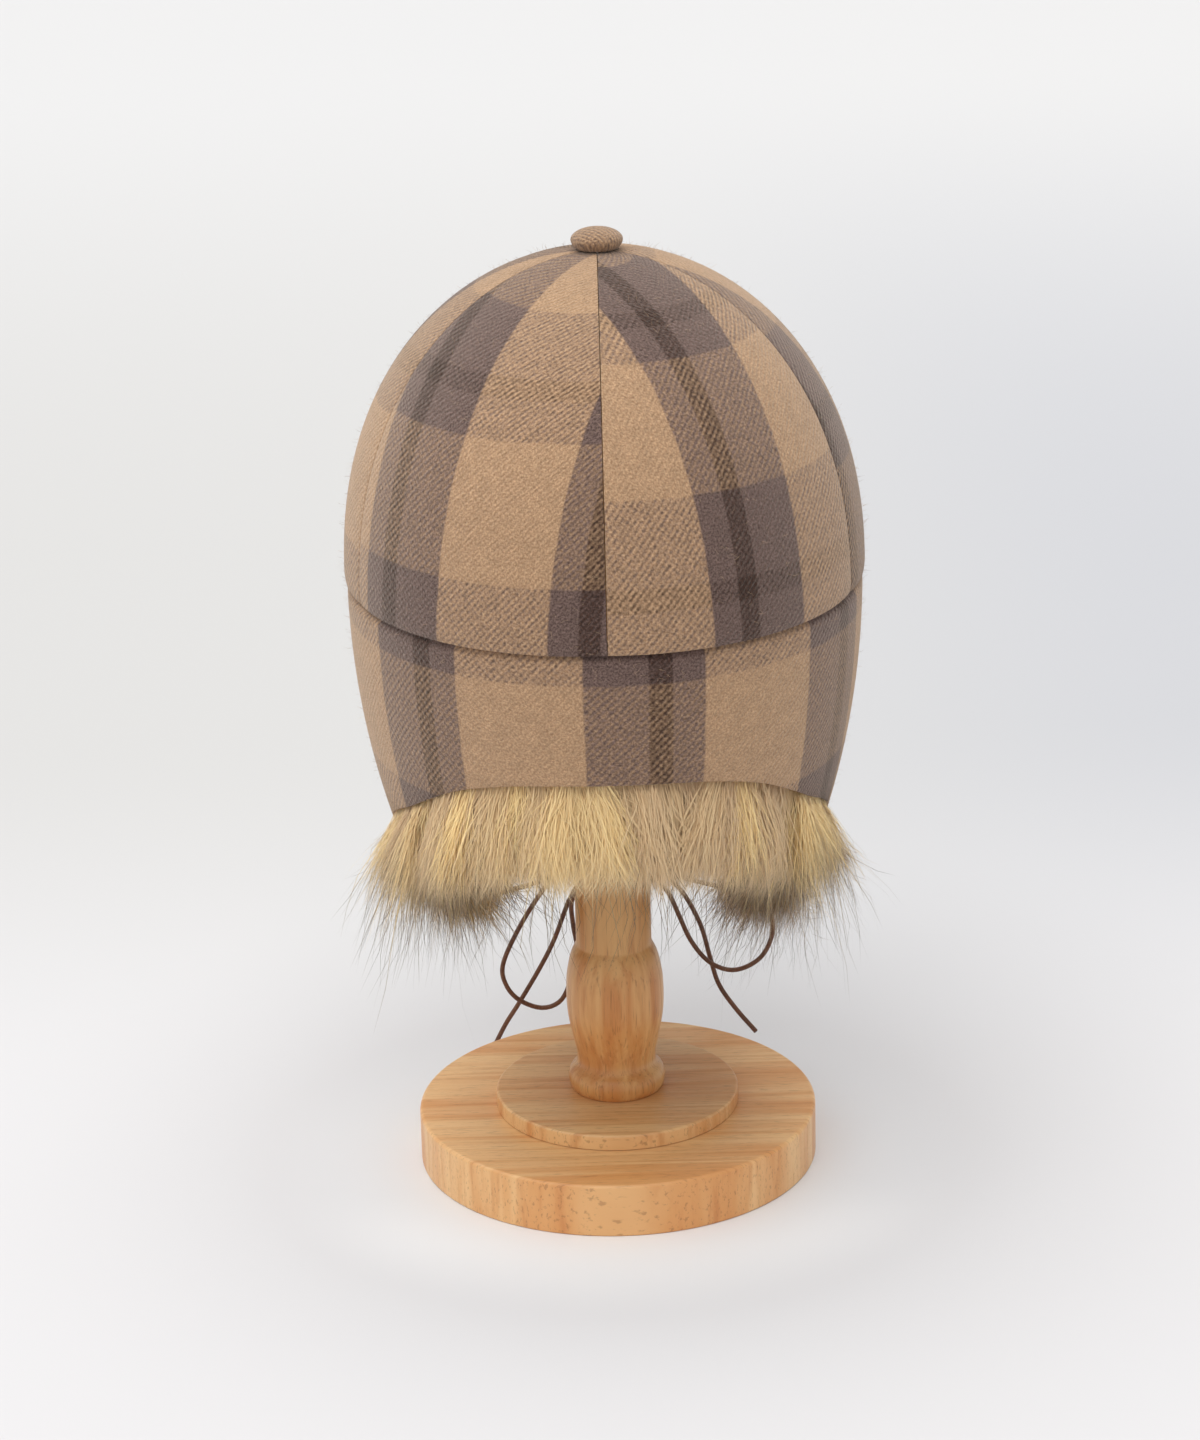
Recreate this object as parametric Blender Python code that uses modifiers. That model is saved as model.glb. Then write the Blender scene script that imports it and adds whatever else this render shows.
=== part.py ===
"""Earflap cap of brushed plaid wool with a fur lining, on a turned wooden stand.

Metres, +Z up. The origin is on the stand's axis at the floor, and the cap's peak faces -Y.
Angles round the cap run from the back (+Y) towards +X.
"""
from math import asin, cos, pi, radians, sin, sqrt

import bmesh
import bpy
from mathutils import Vector

# Cloth and seams
CLOTH = 0.002
GAP = 0.0003
SIDE_SEAM = radians(69)
FRONT_SIDE_SEAM = radians(124.5)
SEAM_DIP = 0.0014
HEM_ROLL = 0.0012
HEM_BAND = 0.005
HEM_CLEARANCE = 0.0014

# Crown
HEM_HEIGHT = 0.2305
CROWN_HEIGHT = 0.1168
CROWN_HALF_WIDTH = 0.0939
CROWN_HALF_LENGTH = 0.105
CROWN_EXPONENT = 2.25
CROWN_TIP_RADIUS = 0.0045

# Button on top of the crown
BUTTON_DIAMETER = 0.0185
BUTTON_HEIGHT = 0.0075
# Share of the diameter and of the height, down the button's outer side
BUTTON_FORM = (
    (0.00, 1.00), (0.31, 0.97), (0.59, 0.89), (0.81, 0.76), (0.95, 0.60), (1.00, 0.42),
    (0.93, 0.18), (0.78, 0.00), (0.00, 0.00),
)

# Flap round the back and the ears
FLAP_HALF_WIDTH = 0.0929
FLAP_HALF_LENGTH = 0.1035
FLAP_TUCK = 0.004
FLAP_EASE = 0.011
FLAP_SWEEP = radians(131)
EAR_FLAP_LENGTH = 0.1275
FLAP_INWARD = 0.027
FLAP_INWARD_POWER = 2.1

# Fur lining
FUR_BACKING = 0.005
FUR_SLOPE = 1.22
FUR_LENGTH = 0.042
FUR_ROOT = 0.008
LOCK_WIDTH = 0.0132
LOCK_DEPTH = 0.0042
LOCK_PITCH = 0.0105
LOCK_BEND_START = 0.003
LOCK_LENGTH_VARIATION = 0.22
LOCK_SPLAY_VARIATION = 0.35
LOCK_SWAY = 0.12
# Share of a lock's width at its root, where it leaves the backing, at its middle and its tip
LOCK_TAPER = (0.75, 1.00, 0.72, 0.12)
TIE_CLEARANCE = 0.0090

# Peak
PEAK_LENGTH = 0.056
PEAK_DROP = 0.019
PEAK_HALF_ANGLE = radians(46)
PEAK_THICKNESS = 0.003
PEAK_ROUNDNESS = 2.6
PEAK_SPREAD = 0.22
PEAK_BOW = 0.35
PEAK_FALL_POWER = 1.25

# Stand
BASE_DIAMETER = 0.150
BASE_THICKNESS = 0.0202
BASE_ROUNDING = 0.0035
DISC_DIAMETER = 0.0915
DISC_THICKNESS = 0.0058
DISC_ROUNDING = 0.002
POST_DIAMETER = 0.0282
POST_TURNING_DIAMETER = 0.0366
POST_TURNING_HEIGHT = 0.0585
# Down the post's turned stretch: share of its diameter, share of its height
POST_FORM = (
    (0.772, 1.000), (0.882, 0.925), (0.945, 0.846), (0.985, 0.768), (0.998, 0.690),
    (1.000, 0.610), (0.985, 0.532), (0.950, 0.455), (0.900, 0.375), (0.846, 0.295),
    (0.806, 0.230), (0.820, 0.175), (0.950, 0.130), (1.000, 0.080), (0.975, 0.025),
    (0.930, 0.000),
)
DOME_CLEARANCE = 0.028
DOME_HEIGHT = 0.048
DOME_ROUNDING = 0.0035

# Leather cords: their routes are chosen points, from one end to the other
CORD_DIAMETER = 0.0019
CORD_STEP = 0.0057
KNOT_DIAMETER = 0.0078
KNOT_CENTRE = Vector((0.0, -0.0750, 0.0920))

TIE_LEFT = (
    (0.0628, -0.0180, 0.1028), (0.0625, -0.0190, 0.0987), (0.0600, -0.0220, 0.0950),
    (0.0540, -0.0280, 0.0922), (0.0440, -0.0372, 0.0903), (0.0320, -0.0480, 0.0893),
    (0.0200, -0.0586, 0.0896), (0.0100, -0.0672, 0.0908), (0.0033, -0.0722, 0.0925),
)
TIE_RIGHT = tuple((-x, y, z) for x, y, z in TIE_LEFT)
LOOP_LEFT = (
    (0.0040, -0.0757, 0.0936), (0.0095, -0.0762, 0.0936), (0.0180, -0.0767, 0.0882),
    (0.0275, -0.0770, 0.0753), (0.0371, -0.0775, 0.0596), (0.0440, -0.0780, 0.0440),
    (0.0432, -0.0782, 0.0350), (0.0381, -0.0782, 0.0282), (0.0290, -0.0780, 0.0246),
    (0.0213, -0.0775, 0.0280), (0.0168, -0.0768, 0.0385), (0.0144, -0.0762, 0.0497),
    (0.0157, -0.0757, 0.0608), (0.0160, -0.0754, 0.0710), (0.0115, -0.0752, 0.0800),
    (0.0060, -0.0750, 0.0860), (0.0029, -0.0749, 0.0888),
)
TAIL_LEFT = (
    (0.0018, -0.0782, 0.0899), (0.0060, -0.0812, 0.0862), (0.0112, -0.0822, 0.0790),
    (0.0170, -0.0825, 0.0690), (0.0235, -0.0826, 0.0520), (0.0298, -0.0826, 0.0395),
    (0.0383, -0.0826, 0.0250), (0.0438, -0.0824, 0.0163), (0.0482, -0.0822, 0.0078),
)
LOOP_RIGHT = (
    (-0.0029, -0.0749, 0.0888), (-0.0080, -0.0752, 0.0862), (-0.0150, -0.0757, 0.0815),
    (-0.0218, -0.0762, 0.0740), (-0.0264, -0.0768, 0.0630), (-0.0304, -0.0774, 0.0530),
    (-0.0360, -0.0778, 0.0446), (-0.0419, -0.0780, 0.0402), (-0.0479, -0.0780, 0.0389),
    (-0.0539, -0.0780, 0.0407), (-0.0590, -0.0778, 0.0448), (-0.0623, -0.0775, 0.0512),
    (-0.0634, -0.0770, 0.0585), (-0.0612, -0.0766, 0.0680), (-0.0550, -0.0762, 0.0778),
    (-0.0440, -0.0760, 0.0868), (-0.0290, -0.0759, 0.0930), (-0.0140, -0.0758, 0.0952),
    (-0.0040, -0.0757, 0.0936),
)
TAIL_RIGHT = (
    (-0.0018, -0.0782, 0.0899), (-0.0070, -0.0812, 0.0878), (-0.0150, -0.0824, 0.0830),
    (-0.0265, -0.0828, 0.0728), (-0.0345, -0.0828, 0.0577), (-0.0385, -0.0827, 0.0425),
    (-0.0418, -0.0826, 0.0310), (-0.0483, -0.0824, 0.0205), (-0.0564, -0.0822, 0.0102),
)

# Columns of the flap from the back seam to its front edge:
# share of the sweep at the hem, share of the sweep at the lower edge, share of the ear drop
FLAP_COLUMNS = (
    (0.00, 0.00, 0.373), (0.10, 0.10, 0.378), (0.19, 0.19, 0.395), (0.28, 0.28, 0.435),
    (0.37, 0.36, 0.495), (0.45, 0.43, 0.552), (0.527, 0.50, 0.601), (0.62, 0.58, 0.665),
    (0.70, 0.65, 0.760), (0.76, 0.70, 0.865), (0.82, 0.745, 0.955), (0.87, 0.79, 1.000),
    (0.91, 0.835, 0.985), (0.95, 0.88, 0.890), (0.98, 0.92, 0.730), (1.00, 0.955, 0.520),
)
# Fur locks along the flap's free edge: share of the way from the back seam to the front
# hem, length as a share of the fur's, slope outwards, and slope along the edge's own plane
LOCK_FORM = (
    (0.00, 0.98, 0.04, 0.10), (0.20, 1.00, 0.08, 0.20), (0.32, 0.90, 0.18, 0.75),
    (0.43, 0.80, 0.30, 0.90), (0.55, 0.85, 0.30, 0.80), (0.66, 0.92, 0.15, 0.45),
    (0.76, 0.60, 0.20, 0.80), (0.88, 0.40, 0.15, 0.95), (1.00, 0.34, 0.10, 1.00),
)

# Facets
CROWN_ROWS = (0.0, 0.010, 0.028, 0.10, 0.20, 0.31, 0.43, 0.55, 0.67, 0.79, 0.89)
PANEL_COLUMNS = 6
EASE_ROWS = (0.0, 0.35, 0.7, 1.0)
FLAP_ROWS = 4
LOCK_SIDES = 4
PEAK_COLUMNS = 14
PEAK_ROWS = 5
ROUTE_STEPS = 12
BUTTON_SIDES = 20
BASE_SIDES = 48
DISC_SIDES = 40
POST_SIDES = 28
DOME_SIDES = 32
DOME_ROWS = 6

SEAMS = (0.0, SIDE_SEAM, FRONT_SIDE_SEAM, pi, 2 * pi - FRONT_SIDE_SEAM, 2 * pi - SIDE_SEAM, 2 * pi)


def new_material(name, colour, roughness):
    material = bpy.data.materials.new(name)
    material.use_nodes = True
    shader = material.node_tree.nodes["Principled BSDF"]
    shader.inputs["Base Color"].default_value = (*colour, 1.0)
    shader.inputs["Roughness"].default_value = roughness
    shader.inputs["Metallic"].default_value = 0.0
    material.diffuse_color = (*colour, 1.0)
    return material


def add_object(name, data, material, collection):
    obj = bpy.data.objects.new(name, data)
    data.materials.append(material)
    collection.objects.link(obj)
    return obj


def shade_round(mesh, angle=radians(40)):
    mesh.shade_smooth()
    mesh.set_sharp_from_angle(angle=angle)


def grid_mesh(name, rows):
    """Open surface through rows of points that all have the same length."""
    columns = len(rows[0])
    vertices = [point for row in rows for point in row]
    faces = []
    for r in range(len(rows) - 1):
        for c in range(columns - 1):
            first = r * columns + c
            faces.append((first, first + 1, first + columns + 1, first + columns))
    mesh = bpy.data.meshes.new(name)
    mesh.from_pydata([tuple(v) for v in vertices], [], faces)
    return mesh


def thicken(obj, thickness):
    """Give an open surface its wall, inwards from the outer face."""
    solid = obj.modifiers.new("Wall", "SOLIDIFY")
    solid.thickness = thickness
    solid.offset = -1.0
    solid.use_even_offset = True


def turned(name, profile, steps, material, collection):
    """Body of revolution from (radius, height) pairs that run down its outer side."""
    mesh = bpy.data.meshes.new(name)
    vertices = [(radius, 0.0, height) for radius, height in profile]
    edges = [(i, i + 1) for i in range(len(profile) - 1)]
    mesh.from_pydata(vertices, edges, [])
    obj = add_object(name, mesh, material, collection)
    screw = obj.modifiers.new("Turn", "SCREW")
    screw.steps = steps
    screw.render_steps = steps
    screw.use_merge_vertices = True
    screw.merge_threshold = 0.0001
    screw.use_smooth_shade = True
    return obj


def arc(centre_radius, centre_height, radius, start, end, steps):
    """Points of a round edge in a turned profile, angles in degrees from outwards."""
    points = []
    for i in range(steps + 1):
        angle = radians(start + (end - start) * i / steps)
        points.append((centre_radius + radius * cos(angle), centre_height + radius * sin(angle)))
    return points


def smooth_route(points, step):
    """Even points on a smooth curve through the chosen points of a route."""
    chosen = [Vector(p) for p in points]
    ends = [2 * chosen[0] - chosen[1]] + chosen + [2 * chosen[-1] - chosen[-2]]
    fine = []
    for i in range(1, len(ends) - 2):
        a, b, c, d = ends[i - 1:i + 3]
        for k in range(ROUTE_STEPS):
            t = k / ROUTE_STEPS
            fine.append(0.5 * (2 * b + (c - a) * t + (2 * a - 5 * b + 4 * c - d) * t ** 2
                               + (3 * b - a - 3 * c + d) * t ** 3))
    fine.append(chosen[-1])
    lengths = [0.0]
    for first, second in zip(fine, fine[1:]):
        lengths.append(lengths[-1] + (second - first).length)
    count = max(2, round(lengths[-1] / step))
    route = []
    index = 0
    for k in range(count + 1):
        target = lengths[-1] * k / count
        while index < len(fine) - 2 and lengths[index + 1] < target:
            index += 1
        span = lengths[index + 1] - lengths[index]
        route.append(fine[index].lerp(fine[index + 1], (target - lengths[index]) / span))
    return route


def tube(name, points, material, collection):
    curve = bpy.data.curves.new(name, "CURVE")
    curve.dimensions = "3D"
    curve.bevel_depth = CORD_DIAMETER / 2
    curve.bevel_resolution = 2
    curve.use_fill_caps = True
    route = smooth_route(points, CORD_STEP)
    spline = curve.splines.new("POLY")
    spline.points.add(len(route) - 1)
    for point, place in zip(spline.points, route):
        point.co = (*place, 1.0)
    spline.use_smooth = True
    return add_object(name, curve, material, collection)


def table_value(table, share, column):
    """Reads one column of a table whose first column is the share, evenly between its rows."""
    for low, high in zip(table, table[1:]):
        if share <= high[0]:
            break
    t = (share - low[0]) / (high[0] - low[0])
    return low[column] + (high[column] - low[column]) * t


def around(angle, half_width, half_length, height):
    return Vector((half_width * sin(angle), half_length * cos(angle), height))


def seam_dip(angle):
    """Depth of the valley at the panel seams, nothing at the middle of a panel."""
    turn = angle % (2 * pi)
    for start, end in zip(SEAMS, SEAMS[1:]):
        if turn <= end:
            break
    across = (turn - start) / (end - start)
    return SEAM_DIP * (1 - sqrt(max(0.0, sin(pi * across))))


def crown_point(angle, rise):
    """Outer face of the crown: rise runs from 0 at the hem to 1 at the top."""
    climb = rise * pi / 2
    height = CROWN_HEIGHT * sin(climb) ** (2 / CROWN_EXPONENT)
    roll = HEM_ROLL * max(0.0, 1 - height / HEM_BAND) ** 2
    inset = seam_dip(angle) + roll
    return around(angle, (CROWN_HALF_WIDTH - inset) * cos(climb),
                  (CROWN_HALF_LENGTH - inset) * cos(climb), HEM_HEIGHT + height)


def flap_point(angle, drop, inset=0.0):
    """Outer face of the flap: drop is the depth below the hem as a share of the ear flap's."""
    lean = FLAP_INWARD * max(0.0, drop) ** FLAP_INWARD_POWER
    ease = min(1.0, max(0.0, 1 - drop * EAR_FLAP_LENGTH / FLAP_EASE))
    ease = ease * ease * (3 - 2 * ease)
    tucked = HEM_ROLL + CLOTH + HEM_CLEARANCE + seam_dip(angle)
    inward_width = ease * (FLAP_HALF_WIDTH - CROWN_HALF_WIDTH + tucked)
    inward_length = ease * (FLAP_HALF_LENGTH - CROWN_HALF_LENGTH + tucked)
    return around(angle, FLAP_HALF_WIDTH - lean - inward_width - inset,
                  FLAP_HALF_LENGTH - lean - inward_length - inset,
                  HEM_HEIGHT - drop * EAR_FLAP_LENGTH)


def flap_depths(drop, tucked):
    """Depths of the rows of one column: the eased stretch under the hem, then even steps."""
    ease = FLAP_EASE / EAR_FLAP_LENGTH
    depths = [-FLAP_TUCK / EAR_FLAP_LENGTH] if tucked else []
    depths += [ease * row for row in EASE_ROWS]
    return depths + [ease + (drop - ease) * i / FLAP_ROWS for i in range(1, FLAP_ROWS + 1)]


def flap_column(hem_share, edge_share, drop, side, tucked, inset=0.0):
    """One column of the flap from its top to its free edge."""
    column = []
    for depth in flap_depths(drop, tucked):
        share = hem_share + (edge_share - hem_share) * max(0.0, depth / drop)
        column.append(flap_point(side * FLAP_SWEEP * share, depth, inset))
    return column


def flap_rows(tucked, inset=0.0):
    """Rows of points across the whole flap, from the right front edge to the left one."""
    columns = []
    for side, table in ((-1, FLAP_COLUMNS[:0:-1]), (1, FLAP_COLUMNS)):
        for hem_share, edge_share, drop in table:
            columns.append(flap_column(hem_share, edge_share, drop, side, tucked, inset))
    return [list(row) for row in zip(*columns)]


def panel_row(start, end, rise, margin):
    """Points across one panel at one height, short of both its seams by an angle."""
    span = end - start - 2 * margin
    return [crown_point(start + margin + span * c / PANEL_COLUMNS, rise)
            for c in range(PANEL_COLUMNS + 1)]


def build_crown(materials, collection):
    tip_rise = 1 - CROWN_TIP_RADIUS / CROWN_HALF_LENGTH * 2 / pi
    for index, (start, end) in enumerate(zip(SEAMS, SEAMS[1:])):
        rows = []
        for rise in CROWN_ROWS:
            margin = asin(GAP / 2 / crown_point(0, rise).y)
            rows.append(panel_row(start, end, rise, margin))
        rows.append(panel_row(start, end, tip_rise, asin(GAP / CROWN_TIP_RADIUS)))
        name = f"crown_panel_{index + 1}"
        mesh = grid_mesh(name, rows)
        mesh.flip_normals()
        panel = add_object(name, mesh, materials["wool"], collection)
        thicken(panel, CLOTH)
        shade_round(mesh)


def build_button(materials, collection):
    bottom = HEM_HEIGHT + CROWN_HEIGHT + GAP
    profile = [(BUTTON_DIAMETER / 2 * width, bottom + BUTTON_HEIGHT * height)
               for width, height in BUTTON_FORM]
    turned("top_button", profile, BUTTON_SIDES, materials["wool"], collection)


def build_flap(materials, collection):
    mesh = grid_mesh("flap", flap_rows(True))
    flap = add_object("flap", mesh, materials["wool"], collection)
    thicken(flap, CLOTH)
    shade_round(mesh)


def free_edge(inset):
    """Points along half of the flap's free edge, from the back seam to the front hem."""
    points = [flap_point(FLAP_SWEEP * edge, drop, inset) for _, edge, drop in FLAP_COLUMNS]
    hem_share, edge_share, drop = FLAP_COLUMNS[-1]
    front = flap_column(hem_share, edge_share, drop, 1, False, inset)
    return smooth_route(points + front[-2:len(EASE_ROWS) + 1:-1], LOCK_PITCH)


def lock_route(edge, index, count):
    """Bent route of one lock, from inside the backing to its tip."""
    share = index / (count - 1)
    length = FUR_LENGTH * table_value(LOCK_FORM, share, 1)
    length *= 1 + LOCK_LENGTH_VARIATION * sin(index * 2.4)
    outwards = Vector((edge[index].x, edge[index].y, 0.0)).normalized()
    before = edge[max(0, index - 1)]
    after = edge[min(count - 1, index + 1)]
    along = (after - before).normalized()
    away = outwards.cross(along)
    if away.z > 0 or (share > 0.7 and away.y > 0):
        away = -away
    blend = table_value(LOCK_FORM, share, 3)
    splay = table_value(LOCK_FORM, share, 2) * (1 + LOCK_SPLAY_VARIATION * sin(index * 1.7))
    hang = (away * blend + Vector((0.0, 0.0, -1.0)) * (1.0 - blend)).normalized()
    sway = along * LOCK_SWAY * sin(index * 3.1)
    root = edge[index] - away * FUR_ROOT
    start = edge[index] + hang * LOCK_BEND_START
    middle = start + (hang + outwards * splay * 0.7 + sway).normalized() * length * 0.5
    tip = middle + (hang + outwards * splay * 1.2 + sway * 2).normalized() * length * 0.5
    return [root, start, middle, tip], along, outwards


def build_locks(collection):
    """All locks of the free edge as one mesh of tapered strips."""
    edge = free_edge((CLOTH + GAP) * FUR_SLOPE + FUR_BACKING / 2)
    tie = smooth_route(TIE_LEFT, CORD_STEP)
    mesh = bmesh.new()
    for index in range(len(edge)):
        route, along, outwards = lock_route(edge, index, len(edge))
        if min((point - place).length for point in route[1:] for place in tie) < TIE_CLEARANCE:
            continue
        for mirror in (1, -1):
            if index == 0 and mirror == -1:
                continue
            rings = []
            for place, size in zip(route, LOCK_TAPER):
                ring = []
                for k in range(LOCK_SIDES):
                    turn = 2 * pi * k / LOCK_SIDES
                    point = (place + along * cos(turn) * LOCK_WIDTH / 2 * size
                             + outwards * sin(turn) * LOCK_DEPTH / 2 * size)
                    ring.append(mesh.verts.new((point.x * mirror, point.y, point.z)))
                rings.append(ring)
            for low, high in zip(rings, rings[1:]):
                for k in range(LOCK_SIDES):
                    following = (k + 1) % LOCK_SIDES
                    mesh.faces.new((low[k], low[following], high[following], high[k]))
            mesh.faces.new(rings[0][::-1])
            mesh.faces.new(rings[-1])
    bmesh.ops.recalc_face_normals(mesh, faces=mesh.faces)
    data = bpy.data.meshes.new("locks")
    mesh.to_mesh(data)
    mesh.free()
    locks = bpy.data.objects.new("locks", data)
    collection.objects.link(locks)
    locks.hide_render = True
    locks.display_type = "WIRE"
    return locks


def build_fur(materials, collection, cutters):
    rows = flap_rows(False, (CLOTH + GAP) * FUR_SLOPE)
    mesh = grid_mesh("fur_lining", rows)
    fur = add_object("fur_lining", mesh, materials["fur"], collection)
    thicken(fur, FUR_BACKING)
    union = fur.modifiers.new("Locks", "BOOLEAN")
    union.operation = "UNION"
    union.solver = "EXACT"
    union.use_self = True
    union.object = build_locks(cutters)
    shade_round(mesh)


def build_peak(materials, collection):
    """Crescent peak that comes out from under the front of the crown's hem."""
    root_inset = HEM_ROLL + SEAM_DIP + CLOTH
    root_height = HEM_HEIGHT - GAP
    rows = []
    for r in range(PEAK_ROWS + 1):
        s = r / PEAK_ROWS
        row = []
        for c in range(PEAK_COLUMNS + 1):
            across = 2 * c / PEAK_COLUMNS - 1
            angle = pi + across * PEAK_HALF_ANGLE
            root = around(angle, CROWN_HALF_WIDTH - root_inset,
                          CROWN_HALF_LENGTH - root_inset, root_height)
            reach = PEAK_LENGTH * sqrt(max(0.0, 1 - abs(across) ** PEAK_ROUNDNESS)) + CLOTH
            forward = Vector((root.x * PEAK_SPREAD, -PEAK_LENGTH, 0.0)).normalized()
            bow = PEAK_BOW * PEAK_DROP * across ** 2
            fall = (PEAK_DROP * s ** PEAK_FALL_POWER + bow * s) * reach / PEAK_LENGTH
            row.append(root + forward * reach * s - Vector((0.0, 0.0, fall)))
        rows.append(row)
    mesh = grid_mesh("peak", rows)
    peak = add_object("peak", mesh, materials["wool"], collection)
    thicken(peak, PEAK_THICKNESS)
    shade_round(mesh)


def build_stand(materials, collection):
    wood = materials["wood"]
    radius = BASE_DIAMETER / 2
    low = BASE_ROUNDING
    high = BASE_THICKNESS - BASE_ROUNDING
    profile = [(0.0, BASE_THICKNESS)]
    profile += arc(radius - BASE_ROUNDING, high, BASE_ROUNDING, 90, 0, 4)
    profile += arc(radius - BASE_ROUNDING / 2, low / 2, BASE_ROUNDING / 2, 0, -90, 2)
    profile.append((0.0, 0.0))
    turned("stand_base", profile, BASE_SIDES, wood, collection)

    disc_floor = BASE_THICKNESS + GAP
    disc_top = disc_floor + DISC_THICKNESS
    disc_radius = DISC_DIAMETER / 2
    profile = [(0.0, disc_top)]
    profile += arc(disc_radius - DISC_ROUNDING, disc_top - DISC_ROUNDING, DISC_ROUNDING, 90, 0, 4)
    profile += [(disc_radius, disc_floor), (0.0, disc_floor)]
    turned("stand_disc", profile, DISC_SIDES, wood, collection)

    foot = disc_top + GAP
    dome_top = HEM_HEIGHT + CROWN_HEIGHT - CLOTH - GAP * 2
    dome_floor = dome_top - DOME_HEIGHT
    post_top = dome_floor - GAP
    profile = [(0.0, post_top), (POST_DIAMETER / 2, post_top)]
    profile += [(POST_TURNING_DIAMETER / 2 * width, foot + POST_TURNING_HEIGHT * height)
                for width, height in POST_FORM]
    profile.append((0.0, foot))
    turned("stand_post", profile, POST_SIDES, wood, collection)

    # The dome has the crown's form, made smaller about its top and cut off at its floor
    half_width = CROWN_HALF_WIDTH - DOME_CLEARANCE
    form_height = CROWN_HEIGHT * half_width / CROWN_HALF_WIDTH
    rounding_height = 1 - (DOME_HEIGHT - DOME_ROUNDING) / form_height
    lowest_climb = asin(rounding_height ** (CROWN_EXPONENT / 2))
    profile = [(0.0, dome_top)]
    for i in range(1, DOME_ROWS + 1):
        climb = pi / 2 + (lowest_climb - pi / 2) * i / DOME_ROWS
        height = form_height * (1 - sin(climb) ** (2 / CROWN_EXPONENT))
        profile.append((half_width * cos(climb), dome_top - height))
    profile += [(profile[-1][0] - DOME_ROUNDING, dome_floor), (0.0, dome_floor)]
    turned("stand_dome", profile, DOME_SIDES, wood, collection)


def build_cords(materials, collection):
    leather = materials["leather"]
    routes = {"tie_left": TIE_LEFT, "tie_right": TIE_RIGHT, "loop_left": LOOP_LEFT,
              "loop_right": LOOP_RIGHT, "tail_left": TAIL_LEFT, "tail_right": TAIL_RIGHT}
    for name, points in routes.items():
        tube(name, points, leather, collection)
    ball = bmesh.new()
    bmesh.ops.create_uvsphere(ball, u_segments=12, v_segments=8, radius=KNOT_DIAMETER / 2)
    bmesh.ops.translate(ball, verts=ball.verts, vec=KNOT_CENTRE)
    mesh = bpy.data.meshes.new("bow_knot")
    ball.to_mesh(mesh)
    ball.free()
    add_object("bow_knot", mesh, leather, collection)
    mesh.shade_smooth()


def main():
    for obj in list(bpy.data.objects):
        bpy.data.objects.remove(obj, do_unlink=True)
    collection = bpy.data.collections.new("earflap_cap")
    cutters = bpy.data.collections.new("cutters")
    for group in (collection, cutters):
        bpy.context.scene.collection.children.link(group)
    materials = {
        "wool": new_material("plaid_wool", (0.42, 0.30, 0.21), 0.95),
        "fur": new_material("long_fur", (0.62, 0.46, 0.25), 0.80),
        "leather": new_material("cord_leather", (0.10, 0.045, 0.025), 0.55),
        "wood": new_material("turned_wood", (0.62, 0.36, 0.17), 0.45),
    }
    build_stand(materials, collection)
    build_crown(materials, collection)
    build_button(materials, collection)
    build_flap(materials, collection)
    build_fur(materials, collection, cutters)
    build_peak(materials, collection)
    build_cords(materials, collection)


main()
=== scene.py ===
"""Looks of a plaid wool earflap cap on a turned wooden stand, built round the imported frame.

Metres, +Z up. The cap's back faces +Y and its peak -Y. Angles round the cap run from the
back (+Y) towards +X.
"""
from math import asin, cos, pi, radians, sin, sqrt

import bpy
import numpy as np
from mathutils import Matrix, Vector


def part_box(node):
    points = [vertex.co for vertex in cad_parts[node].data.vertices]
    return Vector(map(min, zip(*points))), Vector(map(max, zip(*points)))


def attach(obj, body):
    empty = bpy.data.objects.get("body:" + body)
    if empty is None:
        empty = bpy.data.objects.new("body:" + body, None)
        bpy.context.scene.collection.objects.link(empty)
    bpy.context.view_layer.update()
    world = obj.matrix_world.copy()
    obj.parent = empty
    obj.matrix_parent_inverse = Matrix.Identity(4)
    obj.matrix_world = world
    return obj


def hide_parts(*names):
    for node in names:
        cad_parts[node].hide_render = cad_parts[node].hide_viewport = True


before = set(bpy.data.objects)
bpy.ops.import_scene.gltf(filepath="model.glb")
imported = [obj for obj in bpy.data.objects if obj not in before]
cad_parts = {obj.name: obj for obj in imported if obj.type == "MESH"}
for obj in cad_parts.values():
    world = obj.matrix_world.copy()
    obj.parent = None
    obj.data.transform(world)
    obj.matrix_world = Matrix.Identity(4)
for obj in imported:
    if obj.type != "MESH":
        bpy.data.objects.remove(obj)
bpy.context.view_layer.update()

# Camera: the photograph's frame is 1200 by 1440, its long side 36 mm on the sensor
CAMERA_PLACE = Vector((0.00306, 1.282, 0.6138))
CAMERA_PITCH = radians(19.0)
CAMERA_ROLL = radians(1.44)
CAMERA_LENS = 92.5
SENSOR = 36.0

# Cloth and seams
CLOTH = 0.002
GAP = 0.0003
SIDE_SEAM = radians(69)
FRONT_SIDE_SEAM = radians(124.5)
SEAM_DIP = 0.0014
HEM_ROLL = 0.0005
HEM_BAND = 0.004
HEM_CLEARANCE = 0.0006
SEAMS = (0.0, SIDE_SEAM, FRONT_SIDE_SEAM, pi, 2 * pi - FRONT_SIDE_SEAM, 2 * pi - SIDE_SEAM, 2 * pi)

# Crown
HEM_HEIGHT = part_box("crown_panel_1")[0].z
CROWN_HEIGHT = 0.1168
CROWN_HALF_WIDTH = 0.0939
CROWN_HALF_LENGTH = 0.105
CROWN_EXPONENT = 2.25
CROWN_TIP_RADIUS = 0.0040
CROWN_EDGE_ROUNDING = 0.0006
PANEL_COLUMNS = 44
PANEL_ROWS = 56
ROW_CROWDING = 1.35
COLUMN_CROWDING = 0.12

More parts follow.
